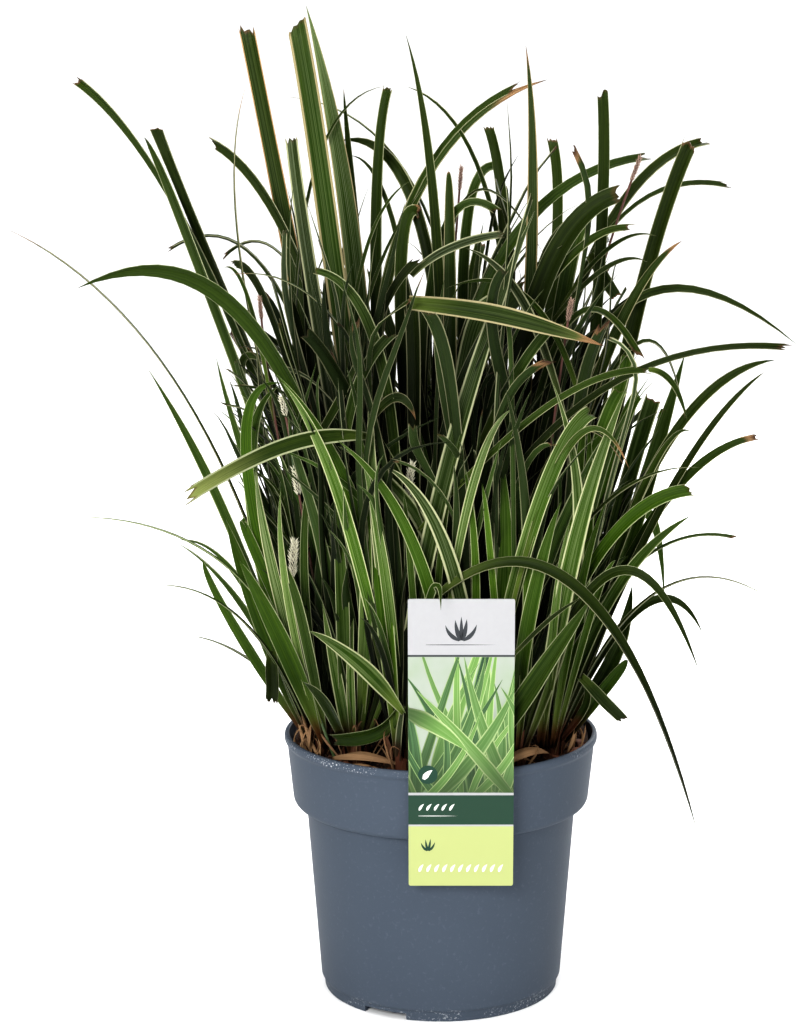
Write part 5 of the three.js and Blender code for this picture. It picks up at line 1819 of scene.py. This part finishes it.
def print_form():
    form = bmesh.new()
    layers = {key: form.verts.layers.float.new(key) for key in ("across", "tone", "striped", "along")}
    draw = draws_from(91)
    for i in range(PRINTED_LEAVES):
        depth = i / PRINTED_LEAVES
        foot = (-44 + 92 * draw(), PICTURE_LOW - 16 + 12 * draw())
        lean = (draw() - 0.5) * 96 - foot[0] * 0.3
        high = (124 - 62 * depth) * (0.7 + 0.5 * draw())
        tip = (foot[0] + lean, foot[1] + high)
        bend = (draw() - 0.5) * 34
        wide = 4.6 + 4.4 * draw()
        flat_leaf(form, layers, foot, tip, bend, wide, draw() ** 1.3, 1, 0.012 + 0.005 * i)
    flat_leaf(form, layers, (-34, PICTURE_LOW + 50), (4, PICTURE_LOW + 25), 5, 10.5, 0.9, 1, 0.25)
    for corner, way in (
        (on_card(-PICTURE_HALF, 0, 0), (-1, 0, 0)),
        (on_card(PICTURE_HALF, 0, 0), (1, 0, 0)),
        (on_card(0, PICTURE_TOP, 0), card_turn @ at(0, 0, 1)),
        (on_card(0, PICTURE_LOW, 0), card_turn @ at(0, 0, -1)),
    ):
        everything = form.verts[:] + form.edges[:] + form.faces[:]
        bmesh.ops.bisect_plane(form, geom=everything, plane_co=corner, plane_no=way, clear_outer=True)

    # The badge, the sprig, the rules and the rows of small leaves. Tones over 2 are plain inks.
    disc(form, layers, (-19, PICTURE_LOW + 11), 5.6, 2.0, 0.32)
    flat_leaf(form, layers, (-21.4, PICTURE_LOW + 8.2), (-16.4, PICTURE_LOW + 13.8), 1.2, 3.4, 3.0, 0, 0.33)
    header = card_long * (0.5 - 0.1)
    flat = 0  # the plain inks have no cream edge
    for lean, high, wide in ((-9, 9, 2.6), (-3.4, 12, 2.8), (3, 12.5, 2.8), (8.6, 9.4, 2.6), (0, 14, 2.4)):
        foot, tip = (lean * 0.12, header - 7), (lean, header - 7 + high)
        flat_leaf(form, layers, foot, tip, -lean * 0.35, wide, 2.4, flat, 0.03)
    flat_leaf(form, layers, (-20, header - 9.6), (20, header - 9.6), 0, 0.5, 2.4, flat, 0.02, 6)
    band = card_long * (0.5 - 0.728)
    for i in range(5):
        foot, tip = (-24 + 4.4 * i, band - 0.6), (-21.2 + 4.4 * i, band + 3.4)
        flat_leaf(form, layers, foot, tip, 0.8, 1.7, 3.0, flat, 0.03)
    flat_leaf(form, layers, (-24.5, band - 4), (-2, band - 4), 0, 0.45, 3.0, flat, 0.02, 6)
    ground = card_long * (0.5 - 0.875)
    for lean, high in ((-4, 5), (-1.4, 7), (1.4, 7.4), (4, 5.4)):
        foot, tip = (-19 + lean * 0.1, ground), (-19 + lean, ground + high)
        flat_leaf(form, layers, foot, tip, -lean * 0.3, 1.5, 2.0, flat, 0.03)
    row = card_long * (0.5 - 0.95)
    for i in range(11):
        foot, tip = (-24 + 4.6 * i, row), (-21.6 + 4.6 * i, row + 4.6)
        flat_leaf(form, layers, foot, tip, 0.9, 1.9, 3.0, flat, 0.03)
    return form


def print_finish():
    ink = Finish("printed_leaves")
    across, tone, striped = (ink.attribute(key) for key in ("across", "tone", "striped"))
    edge = ink.one("ABSOLUTE", across)
    grain = ink.noise(ink.place, 400.0, 2.0)
    along = ink.attribute("along")
    lines = ink.noise(ink.vector(across * 2.4, along * 0.8, tone * 97), 1.6, 3.0)
    leaf = ink.mix(tone, (0.014, 0.044, 0.019), (0.115, 0.235, 0.052))
    lined = ink.step(lines, 0.42, 0.62) * 0.55
    leaf = ink.mix(lined, leaf, ink.mix(tone, (0.055, 0.130, 0.055), (0.220, 0.340, 0.120)))
    cream_edge = ink.step(edge, 0.72, 0.90)
    leaf = ink.mix(cream_edge, leaf, ink.mix(tone, (0.17, 0.27, 0.10), (0.38, 0.46, 0.22)))
    leaf = ink.mix(ink.step(along, 0.62, 0.10) * 0.8, leaf, (0.020, 0.038, 0.012))
    plain = ink.mix(ink.step(tone, 2.1, 2.3), (0.010, 0.040, 0.024), (0.030, 0.034, 0.038))
    plain = ink.mix(ink.step(tone, 2.7, 2.9), plain, (0.64, 0.65, 0.63))
    ink.put(base_color=ink.mix(striped, plain, leaf), roughness=0.34 + 0.1 * grain, specular_ior_level=0.2)
    ink.bump(grain, 0.00004, 0.3)
    return ink.material


print_mesh = mesh_of("label_print", print_form())
print_piece = new_piece("label_print", print_mesh, [print_finish()])
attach(print_piece, "root")
print("the print has", len(print_mesh.polygons), "faces")


# %% Bring the scene up to date
bpy.context.view_layer.update()
